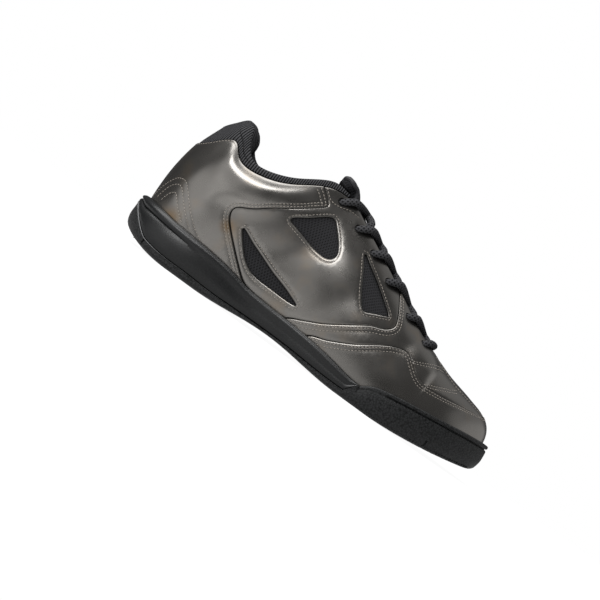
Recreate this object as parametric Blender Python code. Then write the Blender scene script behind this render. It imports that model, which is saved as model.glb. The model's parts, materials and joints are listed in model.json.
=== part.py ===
"""Right indoor soccer shoe standing on its sole: +X to the toe, -Y its outer side, +Z up.

Sizes are millimetres, x from the back of the heel and z from the floor; MM turns them into metres.
"""

import math
from collections import namedtuple

import bmesh
import bpy
import numpy as np
from mathutils import Matrix
from mathutils.geometry import delaunay_2d_cdt

# Driving dimensions
MM = 0.001
LENGTH = 292.0
TOE_RADIUS = 30.0
HEEL_RADIUS = 31.0
TOE_SWING = 7.0
SWING_START = 140.0
HEEL_FLAT = (45.0, 66.0)
FOREFOOT_FLAT = (182.0, 207.0)
HEEL_LIFT = 10.0
ARCH_LIFT = 4.0
TOE_SPRING = 10.5
GAP = 0.3
WALL_OUTER = -1.5
WALL_INNER = -3.4
PANEL_INNER = -0.9
QUARTER_OUTER = 0.0
REAR_OUTER = 0.4
VAMP_OUTER = 0.4
GUARD_OUTER = 0.7
PANEL_SEAM = 0.2
EYELET_RADIUS = 2.4
LACE_RADIUS = 2.5
INSOLE_THICKNESS = 4.0
INSOLE_CLEAR = 1.3
MERGE = 2e-5

# The side view that the panel lines are drawn in
VIEW_DISTANCE = 1100.0
VIEW_X = 128.0
VIEW_Z = 35.6

# Half widths of the sole on either side of its centre line, from toe to heel
Width = namedtuple("Width", "x lateral medial")
WIDTHS = [
    Width(278, 25.5, 28.5),
    Width(260, 39.0, 39.5),
    Width(235, 49.5, 46.5),
    Width(210, 53.0, 46.5),
    Width(180, 50.0, 40.0),
    Width(140, 43.0, 33.5),
    Width(100, 38.5, 33.5),
    Width(60, 38.5, 36.5),
    Width(30, 36.0, 35.5),
    Width(12, 26.5, 26.5),
]

# Heights of the sole, from toe to heel: its cup floor, the upper's foot inset and the rubber under the foam
Sole = namedtuple("Sole", "x floor inset rubber")
SOLE = [
    Sole(292, 16.5, 7.0, 5.0),
    Sole(260, 12.4, 6.6, 5.0),
    Sole(230, 10.0, 6.4, 5.0),
    Sole(191, 9.6, 6.3, 5.2),
    Sole(150, 12.0, 6.2, 3.4),
    Sole(120, 14.6, 6.2, 2.4),
    Sole(100, 16.5, 6.2, 3.4),
    Sole(60, 20.2, 6.4, 6.0),
    Sole(21, 21.3, 6.8, 6.0),
    Sole(0, 21.5, 7.0, 6.0),
]

# Top line of the foam's rim, and of the rubber that wraps the toe in front of it
Rim = namedtuple("Rim", "x z")
FOAM_RIM = [
    Rim(0, 32.2),
    Rim(13, 30.5),
    Rim(33, 28.5),
    Rim(62, 26.6),
    Rim(82, 24.6),
    Rim(94, 22.2),
    Rim(111, 20.8),
    Rim(149, 18.8),
    Rim(168, 16.4),
    Rim(191, 13.4),
]
TOE_RIM = [
    Rim(191, 13.4),
    Rim(197, 16.7),
    Rim(204, 19.5),
    Rim(209, 20.6),
    Rim(230, 23.8),
    Rim(255, 26.9),
    Rim(282, 29.7),
    Rim(292, 30.1),
]
WRAP_RAMP = (184.5, 191.2)
HEEL_WRAP_END = 21.0
HEEL_WRAP_RISE = 10.5

# Ribs of the upper, from toe to heel: where each starts and ends and how it swells between
Rib = namedtuple("Rib", "name foot_x top_x top_half top_z lean belly pitch crown")
RIBS = [
    Rib("toe", 292, 266.0, 12.0, 47.6, 8, 0.50, 0, 0.50),
    Rib("toe_side", 284, 262.0, 12.0, 48.6, 8, 0.48, 0, 0.49),
    Rib("toe_box", 262, 250.0, 12.0, 51.6, 9, 0.42, 0, 0.46),
    Rib("ball", 243, 238.0, 12.0, 54.7, 9, 0.38, 4, 0.44),
    Rib("throat_end", 228, 226.5, 12.5, 58.6, 8, 0.36, 10, 0.42),
    Rib("throat_low", 213, 213.5, 13.0, 62.7, 7, 0.36, 18, 0.40),
    Rib("eyelet_5", 192, 195.3, 14.5, 71.2, 6, 0.36, 24, 0.38),
    Rib("eyelet_3", 162, 167.5, 16.0, 86.0, 5, 0.36, 30, 0.36),
    Rib("eyelet_2", 128, 136.9, 17.0, 101.3, 4, 0.36, 38, 0.34),
    Rib("throat_top", 104, 114.2, 19.0, 109.8, 4, 0.36, 52, 0.32),
    Rib("collar_front", 92, 101.6, 25.0, 107.9, 4, 0.36, 66, 0.32),
    Rib("collar_mid", 70, 79.4, 32.0, 94.4, 4, 0.35, 78, 0.32),
    Rib("collar_dip", 47, 56.2, 34.0, 86.0, 5, 0.35, 82, 0.33),
    Rib("collar_rear", 28, 40.5, 31.5, 88.1, 5, 0.35, 80, 0.34),
    Rib("tab_corner", 16, 31.8, 27.0, 95.5, 5, 0.35, 76, 0.35),
    Rib("tab_side", 6, 19.8, 18.5, 87.7, 5, 0.35, 76, 0.35),
    Rib("heel", 0, 9.5, 0.0, 80.6, 5, 0.36, 76, 0.36),
]
MEDIAL_RISE = 2.5
THROAT_ROUND = 0.16

# Panel lines of the side, as that view shows them, from the toe or the sole upward
Mark = namedtuple("Mark", "x z")
GUARD_LINE = [
    Mark(270, 43.0),
    Mark(255, 40.8),
    Mark(240, 38.6),
    Mark(231, 37.8),
    Mark(224, 39.5),
    Mark(217, 44.3),
    Mark(211, 48.5),
    Mark(205, 49.6),
    Mark(198, 47.2),
    Mark(188, 41.4),
    Mark(175, 32.6),
    Mark(160, 24.6),
    Mark(149, 20.4),
]
VAMP_LINE = [
    Mark(130, 21.4),
    Mark(140, 26.4),
    Mark(152, 32.8),
    Mark(165, 41.6),
    Mark(177, 49.4),
    Mark(186, 53.2),
    Mark(190.3, 57.5),
    Mark(190.3, 62.0),
    Mark(186, 70.5),
    Mark(180, 79.5),
]
REAR_LINE = [
    Mark(90, 22.5),
    Mark(85, 26.1),
    Mark(75, 34.6),
    Mark(65, 43.6),
    Mark(57.5, 51.5),
    Mark(55, 57.6),
    Mark(57.5, 62.0),
    Mark(66, 67.0),
    Mark(76, 74.8),
    Mark(90, 84.6),
    Mark(101, 93.4),
    Mark(105.8, 98.0),
    Mark(104, 101.0),
    Mark(98, 106.0),
]
GUARD_TOE_Z = 44.3
WINDOWS = {
    "rear": [
        Mark(68.5, 52.6),
        Mark(72.5, 46.0),
        Mark(80, 37.8),
        Mark(88, 32.2),
        Mark(97, 30.0),
        Mark(112, 29.6),
        Mark(124, 29.7),
        Mark(128, 31.1),
        Mark(118, 35.2),
        Mark(100, 40.6),
        Mark(82, 47.1),
    ],
    "middle": [
        Mark(91, 77.1),
        Mark(101, 85.0),
        Mark(111.5, 93.2),
        Mark(115.5, 93.5),
        Mark(120, 89.5),
        Mark(127, 81.5),
        Mark(130.2, 75.5),
        Mark(129, 70.5),
        Mark(123, 68.4),
        Mark(112, 69.9),
        Mark(97, 73.8),
    ],
    "front": [
        Mark(145.5, 87.0),
        Mark(155, 81.6),
        Mark(168, 73.6),
        Mark(182.5, 63.2),
        Mark(182, 61.2),
        Mark(175, 58.0),
        Mark(169, 55.1),
        Mark(165.8, 56.0),
        Mark(160, 63.0),
        Mark(152, 76.0),
    ],
}
EYELETS = [
    Mark(112, 106.3),
    Mark(131.5, 98.2),
    Mark(149.5, 90.6),
    Mark(169, 81.2),
    Mark(194, 69.8),
    Mark(213.5, 61.2),
]
QUARTER_EYELETS = (0, 1, 2, 3)
VAMP_EYELETS = (4, 5)

LATERAL = 1
MEDIAL = -1
SIDES = (LATERAL, MEDIAL)


def level_spline(knots, values):
    """A cubic spline whose two ends run level, so that left and right meet without a crease."""
    x = np.asarray(knots, float)
    y = np.asarray(values, float)
    step = np.diff(x)
    rise = np.diff(y) / step
    last = len(x) - 1
    system = np.zeros((last + 1, last + 1))
    target = np.zeros(last + 1)
    system[0, :2] = 2 * step[0], step[0]
    target[0] = 6 * rise[0]
    system[last, last - 1 :] = step[-1], 2 * step[-1]
    target[last] = -6 * rise[-1]
    for i in range(1, last):
        system[i, i - 1 : i + 2] = step[i - 1], 2 * (step[i - 1] + step[i]), step[i]
        target[i] = 6 * (rise[i] - rise[i - 1])
    bend = np.linalg.solve(system, target)

    def at(t):
        t = np.clip(t, x[0], x[-1])
        i = np.clip(np.searchsorted(x, t) - 1, 0, last - 1)
        after = x[i + 1] - t
        before = t - x[i]
        cubic = (bend[i] * after**3 + bend[i + 1] * before**3) / (6 * step[i])
        left = (y[i] / step[i] - bend[i] * step[i] / 6) * after
        right = (y[i + 1] / step[i] - bend[i + 1] * step[i] / 6) * before
        return cubic + left + right

    return at


def smooth_step(t):
    t = np.clip(t, 0.0, 1.0)
    return t * t * (3 - 2 * t)


def turn_of(x):
    """The turn round the sole, 0 at the toe and pi at the heel, at which its outline has reached x."""
    return np.arccos(np.clip(2 * np.asarray(x, float) / LENGTH - 1, -1, 1))


def column(rows, place, field):
    """A column of a table as a smooth function of the turn."""
    turns = turn_of([getattr(row, place) for row in rows])
    return level_spline(turns, [getattr(row, field) for row in rows])


def fullness(field):
    """Half width over the half width of an ellipse of the same length, which stays even at both ends."""
    inner = [getattr(row, field) / math.sin(turn_of(row.x)) for row in WIDTHS]
    toe = math.sqrt(TOE_RADIUS * LENGTH / 2)
    heel = math.sqrt(HEEL_RADIUS * LENGTH / 2)
    turns = [0.0, *turn_of([row.x for row in WIDTHS]), math.pi]
    return level_spline(turns, [toe, *inner, heel])


def top_fullness():
    """The same for the half widths of the upper's top edge, whose two end rows lie on the centre line."""
    inner = [row.top_half / math.sin(turn_of(row.foot_x)) for row in RIBS[1:-1]]
    turns = turn_of([row.foot_x for row in RIBS])
    return level_spline(turns, [inner[0], *inner, inner[-1]])


FULLNESS = {LATERAL: fullness("lateral"), MEDIAL: fullness("medial")}
FLOOR = level_spline([row.x for row in SOLE[::-1]], [row.floor for row in SOLE[::-1]])
RUBBER = level_spline([row.x for row in SOLE[::-1]], [row.rubber for row in SOLE[::-1]])
INSET = column(SOLE, "x", "inset")
TOP_X, TOP_Z, LEAN, BELLY, PITCH, CROWN = (
    column(RIBS, "foot_x", field) for field in ("top_x", "top_z", "lean", "belly", "pitch", "crown")
)
TOP_FULLNESS = top_fullness()
RIB_AT = {row.name: float(turn_of(row.foot_x)) for row in RIBS}
THROAT_TURN = RIB_AT["throat_end"]
COLLAR_TURN = RIB_AT["throat_top"]


def centre_y(x):
    return TOE_SWING * smooth_step((x - SWING_START) / (LENGTH - SWING_START))


def outline(turn, side):
    """Plan points of the sole's outer line."""
    x = LENGTH * (1 + np.cos(turn)) / 2
    y = centre_y(x) - side * FULLNESS[side](turn) * np.sin(turn)
    return np.stack([x, y], axis=-1)


def outward(turn, side):
    """Plan direction square to the sole's outer line."""
    small = 1e-3
    turn = np.clip(turn, 0.0, math.pi)
    ahead = outline(np.minimum(turn + small, math.pi), side)
    behind = outline(np.maximum(turn - small, 0.0), side)
    along = ahead - behind
    across = np.stack([along[..., 1], -along[..., 0]], axis=-1) * -side
    ends = (turn < small) | (turn > math.pi - small)
    across[ends] = np.stack([np.cos(turn), np.zeros_like(turn)], axis=-1)[ends]
    return across / np.linalg.norm(across, axis=-1, keepdims=True)


def plan(turn, side, inset):
    return outline(turn, side) - outward(turn, side) * np.asarray(inset)[..., None]


def bottom(x):
    """Underside of the sole: two flats on the floor, an arch between them, and a rise at either end."""
    heel = HEEL_LIFT * np.clip((HEEL_FLAT[0] - x) / HEEL_FLAT[0], 0, 1) ** 2.2
    across_arch = np.clip((x - HEEL_FLAT[1]) / (FOREFOOT_FLAT[0] - HEEL_FLAT[1]), 0, 1)
    arch = ARCH_LIFT * np.sin(math.pi * across_arch) ** 2
    toe = TOE_SPRING * np.clip((x - FOREFOOT_FLAT[1]) / (LENGTH - FOREFOOT_FLAT[1]), 0, 1) ** 1.6
    return heel + arch + toe


def foot_of(turn, side):
    place = plan(turn, side, INSET(turn))
    return np.concatenate([place, (FLOOR(place[..., 0]) + GAP)[..., None]], axis=-1)


def top_of(turn, side):
    """Upper end of each rib: the ridge of the vamp, then the throat's edge, then the collar's."""
    x = TOP_X(turn)
    opened = np.clip((turn - THROAT_TURN) / THROAT_ROUND, 0, 1)
    half = TOP_FULLNESS(turn) * np.sin(turn) * np.sqrt(1 - (1 - opened) ** 2)
    rise = MEDIAL_RISE * smooth_step((turn - COLLAR_TURN) / 0.3) * smooth_step((math.pi - turn) / 0.5)
    z = TOP_Z(turn) + (rise if side == MEDIAL else 0.0)
    return np.stack([x, centre_y(x) - side * half, z], axis=-1)


def rib_points(turn, side):
    """The four control points of the rib at this turn."""
    turn = np.asarray(turn, float)
    foot = foot_of(turn, side)
    top = top_of(turn, side)
    out = outward(turn, side)
    chord = np.linalg.norm(top - foot, axis=-1, keepdims=True)
    lean = np.radians(LEAN(turn))[..., None]
    start = np.concatenate([out * np.sin(lean), np.cos(lean)], axis=-1)
    near = np.maximum(turn, 0.02)
    slope = (TOP_Z(near + 0.01) - TOP_Z(near - 0.01)) / (TOP_X(near + 0.01) - TOP_X(near - 0.01))
    over = np.stack([-out[..., 0], -out[..., 1], -slope * out[..., 0]], axis=-1)
    over = over / np.linalg.norm(over, axis=-1, keepdims=True)
    pitch = np.radians(PITCH(turn))[..., None]
    rising = np.concatenate([-out * np.cos(pitch), np.sin(pitch)], axis=-1)
    opened = smooth_step((turn - THROAT_TURN) / 0.25)[..., None]
    stop = over * (1 - opened) + rising * opened
    stop = stop / np.linalg.norm(stop, axis=-1, keepdims=True)
    low = foot + start * BELLY(turn)[..., None] * chord
    high = top - stop * CROWN(turn)[..., None] * chord
    return foot, low, high, top


def form(turn, side, height):
    """Point of the upper's outer form, height 0 at the sole and 1 at the top edge."""
    a, b, c, d = rib_points(turn, side)
    h = np.asarray(height, float)[..., None]
    k = 1 - h
    return a * k**3 + 3 * b * k * k * h + 3 * c * k * h * h + d * h**3


def form_normal(turn, side, height):
    small = 2e-3
    turn = np.clip(turn, small, math.pi - small)
    height = np.clip(height, small, 1 - small)
    along = form(turn + small, side, height) - form(turn - small, side, height)
    up = form(turn, side, height + small) - form(turn, side, height - small)
    normal = np.cross(up, along) * side
    return normal / np.linalg.norm(normal, axis=-1, keepdims=True)


def offset_form(turn, side, height, offset):
    turn = np.asarray(turn, float)
    height = np.asarray(height, float)
    return form(turn, side, height) + form_normal(turn, side, height) * np.asarray(offset, float)[..., None]


def seen(points, side):
    """Where the side view shows these points of the form, as x and z."""
    scale = VIEW_DISTANCE / (VIEW_DISTANCE + points[..., 1] * side)
    x = VIEW_X + (points[..., 0] - VIEW_X) * scale
    z = VIEW_Z + (points[..., 2] - VIEW_Z) * scale
    return np.stack([x, z], axis=-1)


SEARCH_TURN, SEARCH_HEIGHT = np.meshgrid(np.linspace(0.02, 3.1, 120), np.linspace(0.0, 1.0, 60))
SEARCH_SEEN = {side: seen(form(SEARCH_TURN, side, SEARCH_HEIGHT), side) for side in SIDES}


def locate(mark, side):
    """Turn and height on the form that the side view shows at a mark."""
    target = np.array([mark.x, mark.z])
    nearest = np.argmin(np.sum((SEARCH_SEEN[side] - target) ** 2, axis=-1))
    guess = np.array([SEARCH_TURN.flat[nearest], SEARCH_HEIGHT.flat[nearest]])
    small = 1e-4
    for _ in range(8):
        spots = guess + np.array([[0, 0], [small, 0], [0, small]])
        shown = seen(form(spots[:, 0], side, spots[:, 1]), side)
        slopes = ((shown[1:] - shown[0]) / small).T
        change = np.linalg.lstsq(slopes, target - shown[0], rcond=None)[0]
        guess = guess + np.clip(change, -0.08, 0.08)
        guess = np.clip(guess, [0.0, 0.0], [math.pi, 1.0])
    return guess


CHART_TURN = np.linspace(0, math.pi, 400)
CHART_ALONG = np.concatenate(
    [[0.0], np.cumsum(np.linalg.norm(np.diff(outline(CHART_TURN, LATERAL), axis=0), axis=1))]
)
CHART_UP = 75.0


def to_chart(spots):
    """Turn and height laid out flat, in millimetres."""
    spots = np.asarray(spots, float)
    return np.stack([np.interp(spots[:, 0], CHART_TURN, CHART_ALONG), spots[:, 1] * CHART_UP], axis=1)


def from_chart(points):
    points = np.asarray(points, float)
    return np.stack([np.interp(points[:, 0], CHART_ALONG, CHART_TURN), points[:, 1] / CHART_UP], axis=1)


def through(padded, spots):
    """Places on a smooth curve through the inner points of a list, which has one point more at each end."""
    first = np.clip(spots.astype(int), 0, len(padded) - 4)
    t = (spots - first)[:, None]
    a, b, c, d = (padded[first + k] for k in range(4))
    square = (2 * a - 5 * b + 4 * c - d) * t**2
    cube = (3 * b - a - 3 * c + d) * t**3
    return 0.5 * (2 * b + (c - a) * t + square + cube)


def smooth_path(points, spacing, closed=False):
    """Points at an even spacing along a smooth curve through the given ones."""
    points = np.asarray(points, float)
    knots = np.concatenate([points, points[:1]]) if closed else points
    before = points[-1:] if closed else 2 * points[:1] - points[1:2]
    after = points[1:2] if closed else 2 * points[-1:] - points[-2:-1]
    padded = np.concatenate([before, knots, after])
    fine = through(padded, np.linspace(0, len(knots) - 1, 16 * (len(knots) - 1) + 1))
    length = np.concatenate([[0.0], np.cumsum(np.linalg.norm(np.diff(fine, axis=0), axis=1))])
    count = max(3 if closed else 1, round(length[-1] / spacing))
    stops = np.linspace(0, length[-1], count + 1)
    even = np.stack([np.interp(stops, length, fine[:, k]) for k in range(2)], axis=1)
    return even[:-1] if closed else even


def inside(points, loop):
    """Which of these flat points lie inside a closed flat line."""
    x, y = points[:, 0:1], points[:, 1:2]
    start = np.asarray(loop)
    stop = np.roll(start, -1, axis=0)
    crosses = (start[:, 1] > y) != (stop[:, 1] > y)
    reach = (stop[:, 0] - start[:, 0]) * (y - start[:, 1]) / (stop[:, 1] - start[:, 1] + 1e-12) + start[:, 0]
    return np.count_nonzero(crosses & (x < reach), axis=1) % 2 == 1


def mesh_flat(loop, holes, grid, clear):
    """Flat triangles that fill a closed line, with holes left open and grid points used inside."""
    rims = [np.asarray(loop), *[np.asarray(hole) for hole in holes]]
    border = np.concatenate(rims)
    distance = np.min(np.linalg.norm(grid[:, None] - border[None], axis=2), axis=1)
    keep = inside(grid, rims[0]) & (distance > clear)
    for hole in rims[1:]:
        keep &= ~inside(grid, hole)
    points = np.concatenate([border, grid[keep]])
    edges = []
    start = 0
    for rim in rims:
        edges += [(start + i, start + (i + 1) % len(rim)) for i in range(len(rim))]
        start += len(rim)
    found = delaunay_2d_cdt([tuple(point) for point in points], edges, [], 0, 1e-5)
    places = np.array([tuple(vertex) for vertex in found[0]])
    triangles = np.array([face for face in found[2]])
    middle = places[triangles].mean(axis=1)
    keep = inside(middle, rims[0])
    for hole in rims[1:]:
        keep &= ~inside(middle, hole)
    return places, triangles[keep]


def key_of(spot, side):
    """A name for a spot that is the same from both sides where they meet."""
    turn, height = round(float(spot[0]), 5), round(float(spot[1]), 5)
    shared = turn < 1e-4 or turn > math.pi - 1e-4 or (height > 1 - 1e-4 and turn < THROAT_TURN + 1e-4)
    return (0 if shared else side, turn, height)


def shell(halves, inner, outer):
    """A closed skin between two offsets of the form, from flat triangles on either side of the shoe."""
    names = {}
    corners = []
    faces = []
    for side, places, triangles in halves:
        spots = from_chart(places)
        index = []
        for spot in spots:
            name = key_of(spot, side)
            if name not in names:
                names[name] = len(corners)
                corners.append((side, spot[0], spot[1]))
            index.append(names[name])
        faces += [tuple(index[i] for i in triangle) for triangle in triangles]
    faces = [face for face in faces if len(set(face)) == 3]
    corners = np.array(corners)
    count = len(corners)
    points = np.empty((2 * count, 3))
    for side in SIDES:
        here = np.flatnonzero(corners[:, 0] == side)
        turn, height = corners[here, 1], corners[here, 2]
        points[here] = offset_form(turn, side, height, np.full(len(here), outer))
        points[here + count] = offset_form(turn, side, height, np.full(len(here), inner))
    used = {}
    for face in faces:
        for a, b in zip(face, face[1:] + face[:1]):
            used.setdefault(frozenset((a, b)), []).append((a, b))
    walls = [(a, b, b + count, a + count) for (a, b), *more in used.values() if not more]
    solid = faces + [tuple(i + count for i in face[::-1]) for face in faces] + walls
    return points, solid


# Scene and materials
for old in list(bpy.data.objects):
    bpy.data.objects.remove(old)


def new_collection(name):
    collection = bpy.data.collections.new(name)
    bpy.context.scene.collection.children.link(collection)
    return collection


PARTS = new_collection("indoor_soccer_shoe")
CUTTERS = new_collection("cutters")
CUTTERS.hide_render = True


def new_material(name, colour, roughness, metallic=0.0):
    material = bpy.data.materials.new(name)
    material.use_nodes = True
    shader = material.node_tree.nodes["Principled BSDF"]
    shader.inputs["Base Color"].default_value = (*colour, 1.0)
    shader.inputs["Roughness"].default_value = roughness
    shader.inputs["Metallic"].default_value = metallic
    return material


RUBBER_BLACK = new_material("outsole_rubber", (0.012, 0.012, 0.013), 0.6)
FOAM_BLACK = new_material("midsole_foam", (0.016, 0.016, 0.018), 0.45)
LINING = new_material("lining_mesh", (0.02, 0.02, 0.022), 0.9)
LEATHER = new_material("metallic_leather", (0.12, 0.11, 0.10), 0.3, 0.9)
TEXTILE = new_material("collar_textile", (0.018, 0.018, 0.02), 0.95)
LACE = new_material("lace_cord", (0.025, 0.025, 0.027), 0.9)
INSOLE_CLOTH = new_material("insole_cloth", (0.03, 0.03, 0.032), 0.9)

WIDE = outline(CHART_TURN, LATERAL)[:, 1].min(), outline(CHART_TURN, MEDIAL)[:, 1].max()
SHIFT = np.array([-LENGTH / 2, -(WIDE[0] + WIDE[1]) / 2, 0.0])


def build(name, points, faces, material, collection=PARTS):
    """An object from points in shoe millimetres, with doubled points joined and faces turned out."""
    mesh = bpy.data.meshes.new(name)
    places = (np.asarray(points, float) + SHIFT) * MM
    mesh.from_pydata([tuple(place) for place in places], [], faces)
    body = bmesh.new()
    body.from_mesh(mesh)
    bmesh.ops.remove_doubles(body, verts=body.verts, dist=MERGE)
    bmesh.ops.dissolve_degenerate(body, dist=MERGE, edges=body.edges)
    bmesh.ops.triangulate(body, faces=body.faces)
    bmesh.ops.recalc_face_normals(body, faces=body.faces)
    body.to_mesh(mesh)
    body.free()
    mesh.materials.append(material)
    thing = bpy.data.objects.new(name, mesh)
    collection.objects.link(thing)
    return thing


# Upper: a hollow shell, open at throat, collar and underneath
RIB_STEP = 0.115


def rib_turns():
    """Turns of the mesh's ribs: each row of the table, even steps between, more round the throat's end."""
    rows = turn_of([row.foot_x for row in RIBS])
    turns = [0.0]
    for a, b in zip(rows[:-1], rows[1:]):
        turns += list(np.linspace(a, b, math.ceil((b - a) / RIB_STEP) + 1)[1:])
    turns += [THROAT_TURN + THROAT_ROUND * part for part in (0.12, 0.45)]
    turns += [(RIB_AT["collar_front"] + RIB_AT[name]) / 2 for name in ("throat_top", "collar_mid")]
    return np.array(sorted(turns))


RIB_TURNS = rib_turns()
ROW_HEIGHTS = np.array([0.0, 0.15, 0.3, 0.45, 0.6, 0.74, 0.87, 1.0])
FOOT_HEIGHT = 0.03


def to_spots(turns, heights):
    turns, heights = np.broadcast_arrays(np.asarray(turns, float), np.asarray(heights, float))
    return to_chart(np.stack([turns, heights], axis=1))


GRID = to_chart([(turn, height) for turn in RIB_TURNS for height in ROW_HEIGHTS])


def ring_round(mark, side, count=8):
    """A round hole on the form, as a closed flat line."""
    turn, height = locate(mark, side)
    small = 1e-3
    turns = np.array([turn, turn + small, turn])
    heights = np.array([height, height, height + small])
    middle, along, up = form(turns, side, heights)
    frame = np.stack([along - middle, up - middle], axis=1) / small
    first = frame[:, 0] / np.linalg.norm(frame[:, 0])
    across = np.cross(frame[:, 0], frame[:, 1])
    second = np.cross(across / np.linalg.norm(across), first)
    angles = np.arange(count) * 2 * math.pi / count
    steps = (np.outer(np.cos(angles), first) + np.outer(np.sin(angles), second)) * EYELET_RADIUS
    moves = np.linalg.lstsq(frame, steps.T, rcond=None)[0].T
    return to_chart(np.array([turn, height]) + moves)


EYELET_RINGS = {side: [ring_round(mark, side) for mark in EYELETS] for side in SIDES}


def shell_half(side):
    sole_edge = to_spots(RIB_TURNS, 0.0)
    heel_edge = to_spots(math.pi, ROW_HEIGHTS[1:-1])
    top_edge = to_spots(RIB_TURNS[::-1], 1.0)
    toe_edge = to_spots(0.0, ROW_HEIGHTS[-2:0:-1])
    loop = np.concatenate([sole_edge, heel_edge, top_edge, toe_edge])
    return (side, *mesh_flat(loop, EYELET_RINGS[side], GRID, 1.5))


upper = build("upper", *shell([shell_half(side) for side in SIDES], WALL_INNER, WALL_OUTER), LINING)

# Leather panels over the shell, each with its own thickness
EDGE_SPACING = 7.0
CLEAR = 3.2


def shifted(line, amount):
    """A flat line moved square to itself, to the left of the way it runs."""
    along = np.gradient(line, axis=0)
    along = along / np.linalg.norm(along, axis=1, keepdims=True)
    return line + np.stack([-along[:, 1], along[:, 0]], axis=1) * amount


def run_to(points, height):
    """The end of a flat line run on straight to a height."""
    a, b = points[-2], points[-1]
    stop = height * CHART_UP
    return b + (b - a) * (stop - b[1]) / (b[1] - a[1])


def guard_line(side):
    heights = np.linspace(0, 1, 200)
    rise = form(np.zeros(200), side, heights)[:, 2]
    toe = to_chart([(0.0, np.interp(GUARD_TOE_Z, rise, heights))])[0]
    rows = [toe, *to_chart([locate(mark, side) for mark in GUARD_LINE])]
    foot = np.array([rows[-1][0] + 6.0, FOOT_HEIGHT * CHART_UP])
    return smooth_path([*rows, foot], EDGE_SPACING)


def rising_line(marks, side, lead):
    """A line from the sole up to the top edge."""
    rows = list(to_chart([locate(mark, side) for mark in marks]))
    foot = np.array([rows[0][0] + lead, FOOT_HEIGHT * CHART_UP])
    line = smooth_path([foot, *rows, run_to(rows, 1.0)], EDGE_SPACING)
    line[-1, 1] = CHART_UP
    return line


GUARD_LINES = {side: guard_line(side) for side in SIDES}
VAMP_LINES = {side: rising_line(VAMP_LINE, side, 5.0) for side in SIDES}
REAR_LINES = {side: rising_line(REAR_LINE, side, -4.0) for side in SIDES}


def pinned(line, first=None, last=None):
    """A flat line with the given coordinates of its ends set back after it was moved."""
    line = line.copy()
    for end, place in ((0, first), (-1, last)):
        for axis, value in (place or {}).items():
            line[end, axis] = value
    return line


def between(start, stop, height):
    """Flat points at the ribs between two places along the sole, at one height."""
    turns = from_chart(np.array([[start, 0.0], [stop, 0.0]]))[:, 0]
    low, high = min(turns), max(turns)
    room = 0.3 * RIB_STEP
    inner = RIB_TURNS[(RIB_TURNS > low + room) & (RIB_TURNS < high - room)]
    return to_spots(inner if turns[0] < turns[1] else inner[::-1], height)


LOW = FOOT_HEIGHT * CHART_UP
TOE_ROWS = ROW_HEIGHTS[(ROW_HEIGHTS > 0.08) & (ROW_HEIGHTS < 0.97)]


def guard_half(side):
    toe_end = {0: 0.0, 1: GUARD_LINES[LATERAL][0, 1] - PANEL_SEAM}
    line = pinned(shifted(GUARD_LINES[side], -PANEL_SEAM), toe_end, {1: LOW})
    toe_top = from_chart(line[:1])[0, 1]
    toe = to_spots(0.0, [FOOT_HEIGHT, *TOE_ROWS[TOE_ROWS < toe_top - 0.04]])
    loop = np.concatenate([toe, line, between(line[-1, 0], 0.0, FOOT_HEIGHT)])
    return (side, *mesh_flat(loop, [], GRID, CLEAR))


def vamp_half(side):
    toe_end = {0: 0.0, 1: GUARD_LINES[LATERAL][0, 1] + PANEL_SEAM}
    guard = pinned(shifted(GUARD_LINES[side], PANEL_SEAM), toe_end, {1: LOW})
    line = pinned(shifted(VAMP_LINES[side], PANEL_SEAM), {1: LOW}, {1: CHART_UP})
    toe_low = from_chart(guard[:1])[0, 1]
    toe = to_spots(0.0, TOE_ROWS[TOE_ROWS > toe_low + 0.04][::-1])
    ridge = between(line[-1, 0], 0.0, 1.0)
    corner = to_spots([0.0], 1.0)
    foot = between(guard[-1, 0], line[0, 0], FOOT_HEIGHT)
    loop = np.concatenate([guard, foot, line, ridge, corner, toe])
    holes = [EYELET_RINGS[side][k] for k in VAMP_EYELETS]
    return (side, *mesh_flat(loop, holes, GRID, CLEAR))


WINDOW_RINGS = {
    side: [
        smooth_path(to_chart([locate(mark, side) for mark in marks]), EDGE_SPACING, closed=True)
        for marks in WINDOWS.values()
    ]
    for side in SIDES
}


def quarter_half(side):
    vamp = pinned(shifted(VAMP_LINES[side], -PANEL_SEAM), {1: LOW}, {1: CHART_UP})
    rear = pinned(shifted(REAR_LINES[side], PANEL_SEAM), {1: LOW}, {1: CHART_UP})
    foot = between(vamp[0, 0], rear[0, 0], FOOT_HEIGHT)
    top = between(rear[-1, 0], vamp[-1, 0], 1.0)
    loop = np.concatenate([foot, rear, top, vamp[::-1]])
    holes = WINDOW_RINGS[side] + [EYELET_RINGS[side][k] for k in QUARTER_EYELETS]
    return (side, *mesh_flat(loop, holes, GRID, CLEAR))


def rear_half(side):
    line = pinned(shifted(REAR_LINES[side], -PANEL_SEAM), {1: LOW}, {1: CHART_UP})
    end = CHART_ALONG[-1]
    foot = between(line[0, 0], end, FOOT_HEIGHT)
    heel = to_spots(math.pi, [FOOT_HEIGHT, *TOE_ROWS, 1.0])
    top = between(end, line[-1, 0], 1.0)
    loop = np.concatenate([foot, heel, top, line[::-1]])
    return (side, *mesh_flat(loop, [], GRID, CLEAR))


both = [guard_half(side) for side in SIDES]
build("toe_guard", *shell(both, PANEL_INNER, GUARD_OUTER), LEATHER)
both = [vamp_half(side) for side in SIDES]
build("vamp_panel", *shell(both, PANEL_INNER, VAMP_OUTER), LEATHER)
both = [rear_half(side) for side in SIDES]
build("heel_panel", *shell(both, PANEL_INNER, REAR_OUTER), LEATHER)
build("quarter_lateral", *shell([quarter_half(LATERAL)], PANEL_INNER, QUARTER_OUTER), LEATHER)
build("quarter_medial", *shell([quarter_half(MEDIAL)], PANEL_INNER, QUARTER_OUTER), LEATHER)

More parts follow.
